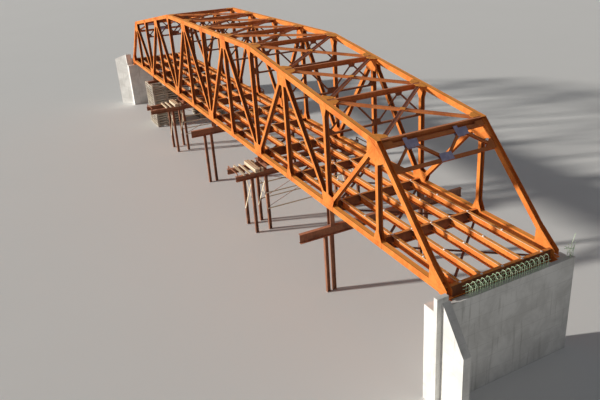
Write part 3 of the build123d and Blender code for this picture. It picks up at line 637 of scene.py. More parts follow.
@dataclass(frozen=True)
class SawnTimber(Coat):
    """Rough sawn softwood with grain along one axis, knots and grey weathering.

    Attributes:
        grain: Direction of the fibres.
        pale: Colour of the pale boards.
        brown: Colour of the brown ones and of the grain.
        grey: Colour of the weathering.
        weathering: Most of the weathering, 0 to 1.
    """

    grain: Grain
    pale: Triple = (0.60, 0.52, 0.41)
    brown: Triple = (0.30, 0.23, 0.17)
    grey: Triple = (0.50, 0.48, 0.44)
    weathering: float = 0.75

    def drawn(self, along: float, across: float) -> Triple:
        """One factor along the grain and another across it."""
        return tuple(along if axis == self.grain.value else across for axis in "xyz")

    def material(self) -> Material:
        """Make the material."""
        painter = Painter(self.name, self.pale)
        fibres = painter.noise(1.0, 6.0, self.drawn(5.0, 150.0), rough=0.65)
        boards = painter.noise(13.0, 2.0, self.drawn(0.12, 1.0))
        painter.lay(self.brown, painter.ramp(boards, 0.38, 0.64))
        painter.lay(self.brown, painter.ramp(fibres, 0.46, 0.72, 0.0, 0.7))
        painter.lay(self.grey, painter.ramp(
            painter.noise(9.0, 6.0, rough=0.7), 0.42, 0.66, 0.0, self.weathering))
        painter.relief(fibres, 0.0011, 0.5)
        painter.roughen(fibres, 0.78, 0.92)
        return painter.material


@dataclass(frozen=True)
class Stained(Coat):
    """A smooth coat with stains, and chips where they are asked for.

    Attributes:
        clean: Main colour.
        stain: Colour of the stains.
        scale: Stains to a metre.
        span: Noise at which a stain starts, at which it is full, and how full it gets.
        rough: Least and most roughness.
        chip: Colour of the chips.
    """

    clean: Triple
    stain: Triple
    scale: float
    span: Triple
    rough: tuple[float, float]
    chip: Triple | None = None

    def material(self) -> Material:
        """Make the material."""
        painter = Painter(self.name, self.clean)
        clouds = painter.noise(self.scale, 4.0)
        low, high, most = self.span
        painter.lay(self.stain, painter.ramp(clouds, low, high, 0.0, most))
        if self.chip:
            painter.lay(self.chip, painter.ramp(painter.noise(420.0, 3.0), 0.66, 0.74, 0.0, 0.8))
        painter.roughen(clouds, *self.rough)
        return painter.material


FRESH = ((0.82, 0.70, 0.52), (0.62, 0.47, 0.30), (0.60, 0.56, 0.49), 0.25)
STRUT_RUST = {"bright": (0.62, 0.19, 0.05), "deep": (0.42, 0.12, 0.035)}
# Pit colour of the dark sway and floor copies, darkened with them as painted shade.
PIT_IN_PAINTED_SHADE = (0.06, 0.025, 0.015)


class Finish(Enum):
    """Every finish of the bridge."""

    TRUSS = RustedSteel("weathering_steel_truss")
    # Verticals and diagonals: the dark pit colour laid over their faces that don't look across the
    # bridge is painted shade in the web troughs.
    WEBS = RustedSteel("weathering_steel_webs_painted_shade", pit=(0.14, 0.045, 0.018), painted_shade=0.85)
    STRUTS = RustedSteel(
        "weathering_steel_struts", dust_and_top_light=(0.66, 0.27, 0.14), dust_and_top_light_most=0.8, **STRUT_RUST)
    # Dark copy of the steel for the sway frames, which face along the bridge: its darkness is
    # painted shade.
    SWAY = RustedSteel(
        "weathering_steel_sway_painted_shade", (0.24, 0.080, 0.034), (0.15, 0.050, 0.024), PIT_IN_PAINTED_SHADE,
        (0.50, 0.20, 0.09), 0.8)
    BRACES = RustedSteel(
        "weathering_steel_bracing", (0.66, 0.22, 0.06), (0.42, 0.12, 0.035),
        dust_and_top_light=(0.44, 0.27, 0.225), dust_and_top_light_most=0.95)
    # Dark copy for the floor beams and the bolts, clips and studs on the floor: its darkness is
    # painted shade, and the bright orange on its tops is dust and painted light.
    FLOOR = RustedSteel(
        "weathering_steel_floor_painted_shade", (0.26, 0.085, 0.030), (0.15, 0.050, 0.022), PIT_IN_PAINTED_SHADE,
        (0.96, 0.33, 0.070), 0.95)
    # Dark copy for the bottom laterals and their plates under the floor: its darkness is painted
    # shade.
    BELOW = RustedSteel(
        "weathering_steel_bottom_bracing_painted_shade", (0.105, 0.042, 0.027), (0.060, 0.026, 0.020),
        (0.025, 0.014, 0.012), (0.20, 0.085, 0.055), 0.5)
    # Lighter copy of the steel for the chord covers and lateral plates: its brighter rust and top
    # layer are painted light on these level tops.
    COVER = RustedSteel(
        "weathering_steel_covers_painted_light", (0.98, 0.37, 0.060), (0.94, 0.31, 0.045),
        (0.62, 0.18, 0.035), (0.98, 0.42, 0.085), 0.5)
    # Stringers: a painted highlight on the sunward flange edges, and bright orange on the tops
    # that is dust and painted light.
    STRINGER = HighlightedStringerSteel(
        "weathering_steel_stringers_painted_highlight", dust_and_top_light=(0.97, 0.42, 0.095), dust_and_top_light_most=0.9)
    FALSEWORK = RustedSteel(
        "falsework_rust", (0.36, 0.15, 0.08), (0.20, 0.085, 0.05), (0.08, 0.04, 0.03),
        (0.66, 0.29, 0.17), 0.85, 0.5)
    PORTAL = PortalPlate("portal_plate", **STRUT_RUST)
    CONCRETE = CastConcrete("cast_concrete")
    OLD_ALONG = SawnTimber("weathered_timber_along", Grain.ALONG)
    OLD_ACROSS = SawnTimber("weathered_timber_across", Grain.ACROSS)
    NEW_ALONG = SawnTimber("fresh_timber_along", Grain.ALONG, *FRESH)
    NEW_ACROSS = SawnTimber("fresh_timber_across", Grain.ACROSS, *FRESH)
    NEW_SLOPING = SawnTimber("fresh_timber_sloping", Grain.SLOPING, *FRESH)
    CAP = Stained("cap_white", (0.84, 0.84, 0.82), (0.62, 0.52, 0.42), 90.0,
                  (0.52, 0.75, 0.6), (0.35, 0.55))
    BAR = Stained("bar_coating", (0.46, 0.68, 0.42), (0.74, 0.86, 0.62), 45.0,
                  (0.38, 0.62, 1.0), (0.45, 0.65), (0.30, 0.20, 0.12))

    @property
    def material(self) -> Material:
        """The material, made when it is first asked for."""
        return bpy.data.materials.get(self.value.name) or self.value.material()


WORN_BY = {
    Finish.CONCRETE: "front_abutment back_abutment abutment_back_walls abutment_wing_walls",
    Finish.OLD_ALONG: "crib_sleepers_along",
    Finish.OLD_ACROSS: "crib_sleepers_across",
    Finish.NEW_ALONG: "platform_planks",
    Finish.NEW_ACROSS: "tower_ties",
    Finish.NEW_SLOPING: "tower_braces",
    Finish.FALSEWORK: "bent_piles bent_caps bent_headers bent_stools tower_rods platform_rails",
    Finish.WEBS: "left_truss_verticals left_truss_diagonals right_truss_verticals "
                 "right_truss_diagonals",
    Finish.COVER: "lateral_plates",
    Finish.PORTAL: "portal_plates",
    Finish.STRUTS: "portal_struts portal_braces top_struts",
    Finish.SWAY: "sway_struts sway_braces sway_plates",
    Finish.BRACES: "top_laterals",
    Finish.BELOW: "bottom_laterals bottom_lateral_plates",
    Finish.FLOOR: "floor_beams",
    Finish.STRINGER: "stringers",
}


def dress_frame() -> None:
    """Give each carried-over piece of the model its finish, the trusses' where none is named."""
    worn = {name: finish for finish, names in WORN_BY.items() for name in names.split()}
    for name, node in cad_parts.items():
        material = worn.get(name, Finish.TRUSS).material
        node.data.materials.clear()
        node.data.materials.append(material)
        LOG.info("%s wears %s", name, material.name)


def put(name: str, surface: Surface, finish: Finish,
        crease: float = 35.0) -> bpy.types.Object:
    """Make a piece from a surface and hang it on the bridge.

    Args:
        name: Name of the piece.
        surface: Its shape, placed in the frame of the model.
        finish: What it wears.
        crease: Degrees of turn from which an edge looks sharp.

    Returns:
        The finished object, at the origin.
    """
    mesh = bpy.data.meshes.new(name)
    count, fours, threes = len(surface.points), len(surface.quads), len(surface.triangles)
    corners = np.concatenate([surface.quads.ravel(), surface.triangles.ravel()]).astype(np.int32)
    sizes = np.concatenate([np.full(fours, 4), np.full(threes, 3)]).astype(np.int32)
    mesh.vertices.add(count)
    mesh.vertices.foreach_set("co", surface.points.astype(np.float32).ravel())
    mesh.loops.add(len(corners))
    mesh.loops.foreach_set("vertex_index", corners)
    mesh.polygons.add(len(sizes))
    starts = np.concatenate([[0], np.cumsum(sizes)[:-1]]).astype(np.int32)
    mesh.polygons.foreach_set("loop_start", starts)
    mesh.update(calc_edges=True)
    mesh.validate()
    mesh.set_sharp_from_angle(angle=float(np.radians(crease)))
    mesh.materials.append(finish.material)
    piece = bpy.data.objects.new(name, mesh)
    bpy.context.scene.collection.objects.link(piece)
    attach(piece, "root")
    LOG.info("%s: %d points, %d faces", name, count, fours + threes)
    return piece


# Cover plates and fasteners


@dataclass
class ChordCovers:
    """Plates that close the upward side of both chords, just below their flange edges.

    Attributes:
        layout: Where the chords are.
        flange: Thickness of the chord flanges.
        top_half: Half the height of the top chord.
        bottom_half: Half the height of the bottom chord.
        inset: Flange edge to the top of the plates.
        thickness: Thickness of the plates.
    """

    layout: Layout
    flange: float = 0.0026
    top_half: float = 0.024
    bottom_half: float = 0.025
    inset: float = 0.0010
    thickness: float = 0.0016

    def build(self) -> None:
        """Make the four runs of plate."""
        grid = self.layout
        last = grid.panels
        bends = [1, grid.crown_joint, last - grid.crown_joint, last - 1]
        upper = [grid.lower(0), *(grid.upper(joint) for joint in bends), grid.lower(last)]
        lower = [grid.lower(joint) for joint in (0, last)]
        surface = Surface.joined([
            self.run(np.array(line), half, side * grid.spacing / 2, ends)
            for line, half, ends in ((upper, self.top_half, 1), (lower, self.bottom_half, 0))
            for side in BOTH])
        put("chord_cover_plates", surface, Finish.COVER)

    def run(self, line: Array, half: float, y: float, ends: int) -> Surface:
        """One run of plate above a line of joints.

        Args:
            line: The joints, shape (points, 3).
            half: Half the height of the chord.
            y: Y of the truss.
            ends: Joints left out at either end, used for the mitres only.

        Returns:
            The closed surface.
        """
        along = unit(np.diff(line, axis=0))
        normal = np.cross(Y_AXIS, along)
        normal *= np.sign(normal[:, 2:])
        before = np.vstack([normal[:1], normal])
        bisector = unit(before + np.vstack([normal, normal[-1:]]))
        bisector /= np.sum(bisector * before, axis=1)[:, None]
        wide = self.layout.member_depth / 2 - self.flange
        top = half - self.inset
        corners = [(-wide, top - self.thickness), (-wide, top), (wide, top),
                   (wide, top - self.thickness)]
        rings = np.stack([line + bisector * rise + [0.0, y + across, 0.0]
                          for across, rise in corners], axis=1)
        return lofted(rings[ends:len(rings) - ends])


@dataclass
class BoltedJoints:
    """Hexagon bolt heads on every gusset plate of the two trusses.

    Attributes:
        layout: Sizes of the bridge.
        pitch: Distance between bolts along a member.
        edge: Distance from the last bolt to the edge of the plate.
        post, web, top, bottom, slope: Bolt lines of a post, a diagonal, the two chords and an
            end post over its bearing, as distances from the centre line.
        plain, fan, hip: How far a plate reaches along the chord and along the post at a plain
            joint, where diagonals meet, and at a hip.
    """

    layout: Layout
    pitch: float = 0.0095
    edge: float = 0.006
    post: tuple[float, ...] = (-0.011, 0.011)
    web: tuple[float, ...] = (-0.010, 0.010)
    top: tuple[float, ...] = (-0.015, -0.006, 0.006, 0.015)
    bottom: tuple[float, ...] = (-0.017, -0.008, 0.008, 0.017)
    slope: tuple[float, ...] = (-0.014, -0.006, 0.006, 0.014)
    plain: tuple[float, float] = (0.052, 0.105)
    fan: tuple[float, float] = (0.082, 0.118)
    hip: tuple[float, float] = (0.112, 0.150)

    def rows(self, *members: tuple[Array, float, float, tuple[float, ...]]) -> Array:
        """Bolt places over the members that meet at a joint, in the plane of the truss.

        The place is t times the direction plus g times its normal in the plane, for t from start
        to reach in steps of the pitch, and for each gauge g.

        Args:
            members: Direction, start, reach and gauges of each member.

        Returns:
            Places relative to the joint, shape (n, 3).
        """
        places = []
        for direction, start, reach, gauges in members:
            count = int((reach - self.edge - start) / self.pitch) + 1
            t, g = np.meshgrid(start + np.arange(count) * self.pitch, gauges, indexing="ij")
            side = np.cross(direction, Y_AXIS)
            places.append(t.reshape(-1, 1) * direction + g.reshape(-1, 1) * side)
        return np.concatenate(places)

    def lower_joint(self, joint: int) -> Array:
        """Bolt places at one joint of the bottom chord."""
        lay, here = self.layout, self.layout.lower(joint)
        fans = [unit(lay.upper(top) - here) for top, foot in lay.diagonals() if foot == joint]
        reach, post = self.fan if fans else self.plain
        return here + self.rows(
            (Z_AXIS, 0.034, post, self.post),
            *((way * X_AXIS, 0.005, reach, self.bottom) for way in BOTH),
            *((direction, 0.060, 0.136, self.web) for direction in fans))

    def upper_joint(self, joint: int) -> Array:
        """Bolt places at one joint of the top chord."""
        lay, here = self.layout, self.layout.upper(joint)
        fans = [unit(lay.lower(foot) - here) for top, foot in lay.diagonals() if top == joint]
        hip = joint in (1, lay.panels - 1)
        reach, post = self.hip if hip else self.fan if fans else self.plain
        chords = []
        for other in (joint - 1, joint + 1):
            last = other in (0, lay.panels)
            end = lay.lower(other) if last else lay.upper(other)
            chords.append((unit(end - here), 0.012, 0.148 if last else reach, self.top))
        return here + self.rows(
            (-Z_AXIS, 0.040, post, self.post), *chords,
            *((direction, 0.066, 0.146 if hip else 0.136, self.web) for direction in fans))

    def shoe(self, joint: int) -> Array:
        """Bolt places on the big plate over one bearing."""
        lay, here = self.layout, self.layout.lower(joint)
        way = -1 if joint == 0 else 1
        slope = unit(lay.upper(joint - way) - here)
        return here + self.rows((slope, 0.052, 0.183, self.slope),
                                (way * X_AXIS, -0.022, 0.150, self.bottom))

    def build(self) -> None:
        """Make one piece of bolts for each truss and level."""
        lay = self.layout
        joints = range(1, lay.panels)
        levels = {
            "lower": [self.lower_joint(n) for n in joints] + [self.shoe(0), self.shoe(lay.panels)],
            "upper": [self.upper_joint(n) for n in joints]}
        face = lay.member_depth / 2 + lay.gusset
        for side_name, side in zip(("right", "left"), BOTH):
            for level, groups in levels.items():
                spots = np.concatenate(groups) + Y_AXIS * side * lay.spacing / 2
                parts = [bolt_head().copies(spots + Y_AXIS * way * face,
                                            np.array([-way * X_AXIS, Z_AXIS, way * Y_AXIS]))
                         for way in BOTH]
                put(f"{side_name}_{level}_gusset_bolts", Surface.joined(parts), Finish.TRUSS)


def pairs(firsts: tuple[float, ...], seconds: tuple[float, ...]) -> Spots:
    """Every first number with every second one."""
    return [(a, b) for a in firsts for b in seconds]


def mirrored(spots: Spots) -> Spots:
    """The spots on both sides of the middle."""
    return [(way * a, b) for way in BOTH for a, b in spots]


@dataclass
class BracingBolts:
    """Bolt heads on the plates of the laterals, sway frames and portals.

    Each method but the last two yields the plates of one kind, as on_face takes them.

    Attributes:
        layout: Sizes of the bridge.
        plate: Thickness of the plates.
        sway_drop: Lower strut of a sway frame below the chord line.
        sway_half: Half the width of a sway frame's members.
        portal_half: The same of a portal's.
        portal_rows: Upper and lower strut of a portal, down the end posts from the hip.
        lateral_drop: Bottom laterals below the chord line.
    """

    layout: Layout
    plate: float = 0.002
    sway_drop: float = 0.258
    sway_half: float = 0.008
    portal_half: float = 0.012
    portal_rows: tuple[float, float] = (0.042, 0.236)
    lateral_drop: float = 0.032

    def top_laterals(self) -> Iterator[Plate]:
        """The plates over the ends of the top laterals."""
        lay = self.layout
        slant = [(0.0300, 0.0350), (0.0376, 0.0440), (0.0452, 0.0530)]
        spots = pairs((0.024, 0.040, 0.056, 0.072, 0.086), (0.010,))
        spots += [(a + 0.0042 * way, b - 0.0036 * way) for a, b in slant for way in BOTH]
        for panel in range(1, lay.panels - 1):
            front, back = lay.upper(panel), lay.upper(panel + 1)
            normal = np.cross(Y_AXIS, unit(front - back))
            normal *= np.sign(normal[2])
            lift = normal * (lay.strut_depth / 2 + self.plate)
            for end, other in ((front, back), (back, front)):
                for side in BOTH:
                    origin = end + Y_AXIS * side * lay.chord_face + lift
                    yield origin, unit(other - end), -side * Y_AXIS, normal, spots

    def sway_frames(self) -> Iterator[Plate]:
        """The front of every plate of the sway frames."""
        lay = self.layout
        middle = mirrored([(0.010, 0.0), (0.024, 0.0), (0.038, 0.0), (0.016, 0.020),
                           (0.024, 0.031)])
        hanger = mirrored([(0.024, -0.007), (0.013, -0.019)]) + [(0.0, -0.007)]
        knee = [(0.012, 0.0), (0.028, 0.0), (0.046, 0.0), (0.010, 0.018), (0.010, 0.034),
                (0.024, 0.020)]
        for joint in range(2, lay.panels - 1):
            face = lay.upper(joint) + X_AXIS * (self.sway_half + self.plate)
            low, high = face - Z_AXIS * self.sway_drop, face - Z_AXIS * lay.strut_depth / 2
            yield low, Y_AXIS, Z_AXIS, X_AXIS, middle
            for inward in (-Y_AXIS, Y_AXIS):
                yield low - inward * lay.chord_face, inward, Z_AXIS, X_AXIS, knee
                yield high - inward * lay.inner_face / 2, inward, Z_AXIS, X_AXIS, hanger

    def portals(self) -> Iterator[Plate]:
        """The outer face of every plate of the two portals."""
        lay = self.layout
        y, lines = lay.inner_face, (-0.006, 0.006)
        middle = mirrored(pairs((0.016, 0.031, 0.046), lines) + [(0.017, 0.022), (0.026, 0.034)])
        knee = pairs((0.012, 0.030, 0.048, 0.066), lines)
        knee += [(0.010, 0.026), (0.010, 0.044), (0.024, 0.034)]
        corner = pairs((0.014, 0.038, 0.062), (0.016, 0.048))
        for hip, foot in ((1, 0), (lay.panels - 1, lay.panels)):
            down = unit(lay.lower(foot) - lay.upper(hip))
            outward = np.cross(Y_AXIS, down)
            outward *= np.sign(outward[2])
            face = lay.upper(hip) + outward * (self.portal_half + self.plate)
            upper, lower = (face + down * row for row in self.portal_rows)
            yield lower, Y_AXIS, -down, outward, middle
            for inward in (-Y_AXIS, Y_AXIS):
                yield upper - inward * y / 2, Y_AXIS, down, outward, middle
                yield lower - inward * y, inward, -down, outward, knee
                yield face - inward * y, inward, down, outward, corner

    def floor_plates(self) -> Iterator[Plate]:
        """The plates over the ends of the bottom laterals."""
        lay = self.layout
        level = lay.chord_line - self.lateral_drop + self.plate
        spots = [(0.014, 0.012), (0.032, 0.012), (0.054, 0.012), (0.012, 0.030), (0.012, 0.052),
                 (0.028, 0.034)]
        for joint in range(lay.panels + 1):
            for way, side in pairs(BOTH, BOTH):
                if 0 <= joint - way <= lay.panels:
                    origin = np.array([lay.joint_x(joint), side * lay.inner_face, level])
                    yield origin, way * X_AXIS, -side * Y_AXIS, Z_AXIS, spots

    @staticmethod
    def on_face(origin: Array, first: Array, second: Array, outward: Array,
                spots: Spots) -> Surface:
        """Bolt heads on one plate.

        The head at spot (a, b) stands at origin + a * first + b * second.

        Args:
            origin: A point on the face of the plate.
            first: Unit direction on the face.
            second: Another, at right angles to it.
            outward: Where the heads look.
            spots: Places of the heads.

        Returns:
            One surface with all the heads.
        """
        flat = np.array([first, second])
        turn = flat if np.dot(np.cross(first, second), outward) > 0 else flat[::-1]
        return bolt_head().copies(origin + np.array(spots) @ flat,
                                  np.vstack([turn, np.cross(*turn)]))

    def build(self) -> None:
        """Make one piece of bolts for each set of plates."""
        for name, plates, finish in (
                ("lateral_plate_bolts", self.top_laterals(), Finish.TRUSS),
                ("sway_frame_bolts", self.sway_frames(), Finish.STRUTS),
                ("portal_bolts", self.portals(), Finish.PORTAL),
                ("floor_plate_bolts", self.floor_plates(), Finish.FLOOR)):
            put(name, Surface.joined([self.on_face(*plate) for plate in plates]), finish)


@dataclass
class FloorFittings:
    """Clip angles, white marker caps and studs on the open floor.

    Attributes:
        layout: Sizes of the bridge.
        cap_radius: Radius of the marker caps.
        clip: Leg, thickness and length of the clip angles.
        clip_gap: Tops of the beams to the tops of the clips.
        web_half: Half the thickness of a web.
        stud_pitch: Distance between studs along the bridge.
        stud_line: Rows of studs from the middle of their stringer.
        stud_end: End of the floor to the first stud.
    """

    layout: Layout
    cap_radius: float = 0.0098
    clip: Triple = (0.0240, 0.0015, 0.044)
    clip_gap: float = 0.0075
    web_half: float = 0.0011
    stud_pitch: float = 0.0381
    stud_line: float = 0.0075
    stud_end: float = 0.03

    def over(self, xs: Array, ys: Array, drop: float = 0.0) -> Array:
        """Points at every pair of an X and a Y, some way below the tops of the floor steel."""
        x, y = np.meshgrid(xs, ys)
        level = np.full(x.size, self.layout.floor_top - drop)
        return np.column_stack([x.ravel(), y.ravel(), level])

    def build(self) -> None:
        """Make the clips, a cap over each crossing and at mid panel, and two rows of studs."""
        lay = self.layout
        lines = (np.arange(lay.stringers) - (lay.stringers - 1) / 2) * lay.stringer_spacing
        self.build_clips(lines)
        dome = turned(np.array([1.0, 1.0, 0.8, 0.35]) * self.cap_radius,
                      np.array([0.0, 0.0025, 0.0045, 0.0058]), 12)
        halves = lay.joint_x(np.arange(0, lay.panels + 0.5, 0.5))
        put("stringer_marker_caps", dome.copies(self.over(halves, lines)), Finish.CAP,
            crease=60.0)
        stud = turned(np.array([0.0013, 0.0013, 0.0024, 0.0024]),
                      np.array([-0.0002, 0.0042, 0.0042, 0.0058]), 8)
        reach = lay.joint_x(0) - self.stud_end
        spots = self.over(np.arange(-reach, reach, self.stud_pitch),
                          lines[0] + np.array(BOTH) * self.stud_line)
        put("edge_stringer_studs", stud.copies(spots), Finish.FLOOR)

    def build_clips(self, lines: Array) -> None:
        """Clip angles that tie each stringer web to the floor beam webs.

        Args:
            lines: Y of each stringer.
        """
        lay = self.layout
        joints = lay.joint_x(np.arange(lay.panels + 1))
        parts = []
        for way, hand in pairs(BOTH, BOTH):
            xs = (joints[:-1] if way < 0 else joints[1:]) + way * self.web_half
            spots = self.over(xs, lines + hand * self.web_half, self.clip_gap + self.clip[2])
            parts.append(angle_piece(*self.clip).copies(spots, np.diag([way, hand, 1.0])))
        put("stringer_clip_angles", Surface.joined(parts), Finish.FLOOR)


# Temporary works


@dataclass
class TimberCribs:
    """Two cribs of sawn sleepers that stand for the plain ones of the model.

    Attributes:
        layout: Sizes of the bridge.
        joint: Joint that the cribs carry.
        length: Size along the bridge.
        width: Size across it.
        outer: Truss to the outer side.
        top: Height of the last course.
        courses: Number of courses.
        sleeper: Width of a sleeper.
        rows: Sleepers in a course.
        chamfer: Size of their cut corners.
    """

    layout: Layout
    joint: int = 10
    length: float = 0.500
    width: float = 0.440
    outer: float = 0.120
    top: float = 0.693
    courses: int = 33
    sleeper: float = 0.040
    rows: int = 3
    chamfer: float = 0.0016

    def sleepers(self, across: int) -> tuple[Array, Array]:
        """Start and end of every sleeper that runs one way.

        Course k lies at height (k + 1/2) * course, even courses along the bridge and odd ones
        across it, and the rows of a course share out its free width.

        Args:
            across: 1 for the sleepers that lie across the bridge, otherwise 0.

        Returns:
            Starts and ends, each of shape (n, 3).
        """
        lay = self.layout
        side, level, share = (a.ravel() for a in np.meshgrid(
            BOTH, np.arange(across, self.courses, 2), np.linspace(-0.5, 0.5, self.rows)))
        middle = np.column_stack([
            np.full_like(share, lay.joint_x(self.joint)),
            side * (lay.spacing / 2 + self.outer - self.width / 2),
            (level + 0.5) * self.top / self.courses])
        run, row = (Y_AXIS * self.width, X_AXIS) if across else (X_AXIS * self.length, Y_AXIS)
        wide = self.length if across else self.width
        middle += (share * (wide - self.sleeper))[:, None] * row
        return middle - run / 2, middle + run / 2

    def build(self) -> None:
        """Make both sets of sleepers."""
        size = [self.sleeper, self.top / self.courses]
        for across, finish, name, node in (
                (0, Finish.OLD_ALONG, "crib_timbers_along", "crib_sleepers_along"),
                (1, Finish.OLD_ACROSS, "crib_timbers_across", "crib_sleepers_across")):
            starts, ends = self.sleepers(across)
            surface = sawn_timbers(starts, ends, np.tile(size, (len(starts), 1)), self.chamfer,
                                   11 + across)
            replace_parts(put(name, surface, finish), node)


@dataclass
class CapTimbers:
    """Stacked and loose timbers on the caps of the two towers, for the plain ones there."""

    layout: Layout
    overhang: float = 0.016
    chamfer: float = 0.0014

    def pieces(self) -> list[tuple[float, float, float, float, float, float]]:
        """X, inner edge, foot, length, width and depth of each timber outside one truss."""
        lay = self.layout
        length = lay.tower_length + lay.cap_width + 2 * self.overhang
        rows = [(0.0, line, layer * 0.022, length, 0.028, 0.022)
                for line in (0.074, 0.104) for layer in (0, 1)]
        rows += [(0.0, line, 0.0, length, 0.020, 0.020) for line in (0.176, 0.236)]
        rows += [(x * lay.tower_length / 2, 0.034, 0.0, 0.052, 0.026, 0.038) for x in (-1, 1)]
        return rows

    def build(self) -> None:
        """Make every timber of both towers as one piece."""
        lay = self.layout
        rows = np.array([
            (lay.joint_x(joint) + x, side * (lay.spacing / 2 + line + width / 2),
             lay.tower_cap_top + foot + depth / 2, length, width, depth)
            for joint, side in pairs(TOWERS, BOTH)
            for x, line, foot, length, width, depth in self.pieces()])
        centre, reach = rows[:, :3], rows[:, 3:4] / 2 * X_AXIS
        surface = sawn_timbers(centre - reach, centre + reach, rows[:, 4:], self.chamfer, 5)
        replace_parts(put("cap_timbers", surface, Finish.NEW_ALONG), "platform_planks")


@dataclass
class TowerWashers:
    """Bolts with wide washers where boards and ties cross the piles of the towers.

    Attributes:
        layout: Sizes of the bridge.
        rows: Piles of a tower, from the truss outwards.
        ties: X of the faces of the ties from the middle of the tower, and their two heights.
        boards: X of the bolts in the boards, and their height on one face and the other.
        pile_half: Middle of a pile to the face of a board.
    """

    layout: Layout
    rows: tuple[float, ...] = (0.010, 0.163)
    ties: Triple = (0.143, 0.250, 0.430)
    boards: Triple = (0.120, 0.5575, 0.1965)
    pile_half: float = 0.018

    def build(self) -> None:
        """Make all the washers as one piece."""
        lay = self.layout
        washer = turned(np.array([0.0056, 0.0056, 0.0024, 0.0024]),
                        np.array([-0.0002, 0.0011, 0.0011, 0.0040]), 12)
        lines = [[side * (lay.spacing / 2 + row) for side in BOTH] for row in self.rows]
        parts = []
        for joint, edge in pairs(TOWERS, BOTH):
            x = lay.joint_x(joint)
            spots = [(x + edge * self.ties[0], *spot) for spot in pairs(lines[0], self.ties[1:])]
            parts.append(washer.copies(spots, np.array([edge * Y_AXIS, Z_AXIS, edge * X_AXIS])))
            for way in BOTH:
                level = self.boards[1 if edge * way < 0 else 2]
                spots = [(x + edge * self.boards[0], y + way * self.pile_half, level)
                         for y in sum(lines, [])]
                parts.append(washer.copies(spots,
                                           np.array([-way * X_AXIS, Z_AXIS, way * Y_AXIS])))
        put("tower_washers", Surface.joined(parts), Finish.CAP)


@dataclass
class StandingBars:
    """Coated bars that stand out of the front seat and its low back wall, ready for more.

    Attributes:
        layout: Sizes of the bridge.
        near: X of the legs between the end floor beam and the wall.
        far: X of the legs in the wall.
        wall_top: Height of the cast part of the wall.
        reach: Y of the last hairpins.
        count: Hairpins along the wall.
        radius: Radius of a bar.
        root: How deep a bar stands in the concrete.
        rise: Height of the arch of a hairpin.
        tops: Heights of the two sets of hairpins.
        lean: Most that one leans, both ways together.
    """

    layout: Layout
    near: float = 4.6120
    far: float = 4.6500
    wall_top: float = 0.774
    reach: float = 0.338
    count: int = 17
    radius: float = 0.0017
    root: float = 0.002
    rise: float = 0.016
    tops: tuple[float, float] = (0.862, 0.838)
    lean: float = 0.10

    def hairpin(self, y: float, top: float, lean: float) -> Surface:
        """Two legs and an arch over them, in a plane that leans a little along Y.

        The arch is half an ellipse: at angle t it is at X = middle - half * cos t and
        Z = shoulder + rise * sin t, for t from 0 to 180 degrees.
        """
        half, seat = (self.far - self.near) / 2, self.layout.seat
        t = np.linspace(0.0, np.pi, 7)
        x = self.near + half - half * np.concatenate([[1.0], np.cos(t), [-1.0]])
        z = np.concatenate([[seat - self.root], top - self.rise + self.rise * np.sin(t),
                            [self.wall_top - self.root]])
        return bar_along(np.column_stack([x, y + lean * (z - seat), z]), Y_AXIS, self.radius)

    def straight(self, start: Triple, end: Triple) -> Surface:
        """A straight bar between two points that aren't one above the other."""
        path = np.array([start, end])
        return bar_along(path, np.cross(path[1] - path[0], Z_AXIS), self.radius)

    def build_wall(self) -> None:
        """Two sets of hairpins, the second lower and between the first, on level bars."""
        chance = np.random.default_rng(7)
        pitch = 2 * self.reach / (self.count - 1)
        rows = [(y, self.tops[0]) for y in np.linspace(-self.reach, self.reach, self.count)]
        rows += [(y + 0.45 * pitch, self.tops[1])
                 for y in np.linspace(-self.reach, self.reach - pitch, self.count - 1)]
        pins = [self.hairpin(y, top, self.lean * (chance.random() - 0.5)) for y, top in rows]
        front, back, y = self.near + 0.004, self.far - 0.004, self.reach + 0.03
        pins += [self.straight((x, -y, z), (x, y, z)) for x, z in (
            (front, 0.822), (front, 0.846), (back, 0.798), (back, 0.822))]
        put("wall_hairpins", Surface.joined(pins), Finish.BAR, crease=70.0)

    def build_corner(self) -> None:
        """Tall bars at the left corner of the seat, with tied cross bars and safety caps."""
        x, foot = (self.near + self.far) / 2 + 0.008, self.wall_top - self.root
        tall = [((x, 0.570), (x, 0.566), (x + 0.002, 0.594), 0.952),
                ((x + 0.006, 0.585), (x + 0.006, 0.587), (x + 0.006, 0.597), 0.885),
                ((x - 0.008, 0.548), (x - 0.008, 0.546), (x - 0.006, 0.520), 0.868),
                ((x - 0.010, 0.578), (x - 0.009, 0.560), (x - 0.008, 0.548), 0.880),
                ((x + 0.008, 0.556), (x + 0.007, 0.572), (x + 0.006, 0.590), 0.862)]
        bars, tips = [], []
        for base, middle, tip, top in tall:
            path = np.array([[*base, foot], [*middle, (foot + top) / 2], [*tip, top]])
            bars.append(bar_along(path, Y_AXIS, self.radius))
            tips.append(path[-1])
        bars += [self.straight(start, end) for start, end in (
            ((x - 0.012, 0.512, 0.850), (x + 0.010, 0.598, 0.838)),
            ((x + 0.010, 0.530, 0.822), (x - 0.010, 0.597, 0.856)),
            ((x - 0.014, 0.515, 0.866), (x + 0.012, 0.560, 0.846)))]
        put("corner_bars", Surface.joined(bars), Finish.BAR, crease=70.0)
        cap = turned(np.array([0.0019, 0.0019, 0.0046, 0.0046, 0.0026]),
                     np.array([-0.006, 0.0, 0.0004, 0.0018, 0.0030]), 10)
        put("bar_caps", cap.copies([tips[1], tips[4]]), Finish.CAP)

    def build(self) -> None:
        """Make the bars of the wall and of its corner."""
        self.build_wall()
        self.build_corner()


# Studio and camera


def placed(right: Array, up: Array, back: Array, origin: Array) -> Matrix:
    """A placement matrix from three axes and an origin."""
    matrix = np.eye(4)
    matrix[:3] = np.column_stack([right, up, back, origin])
    return Matrix(matrix.tolist())


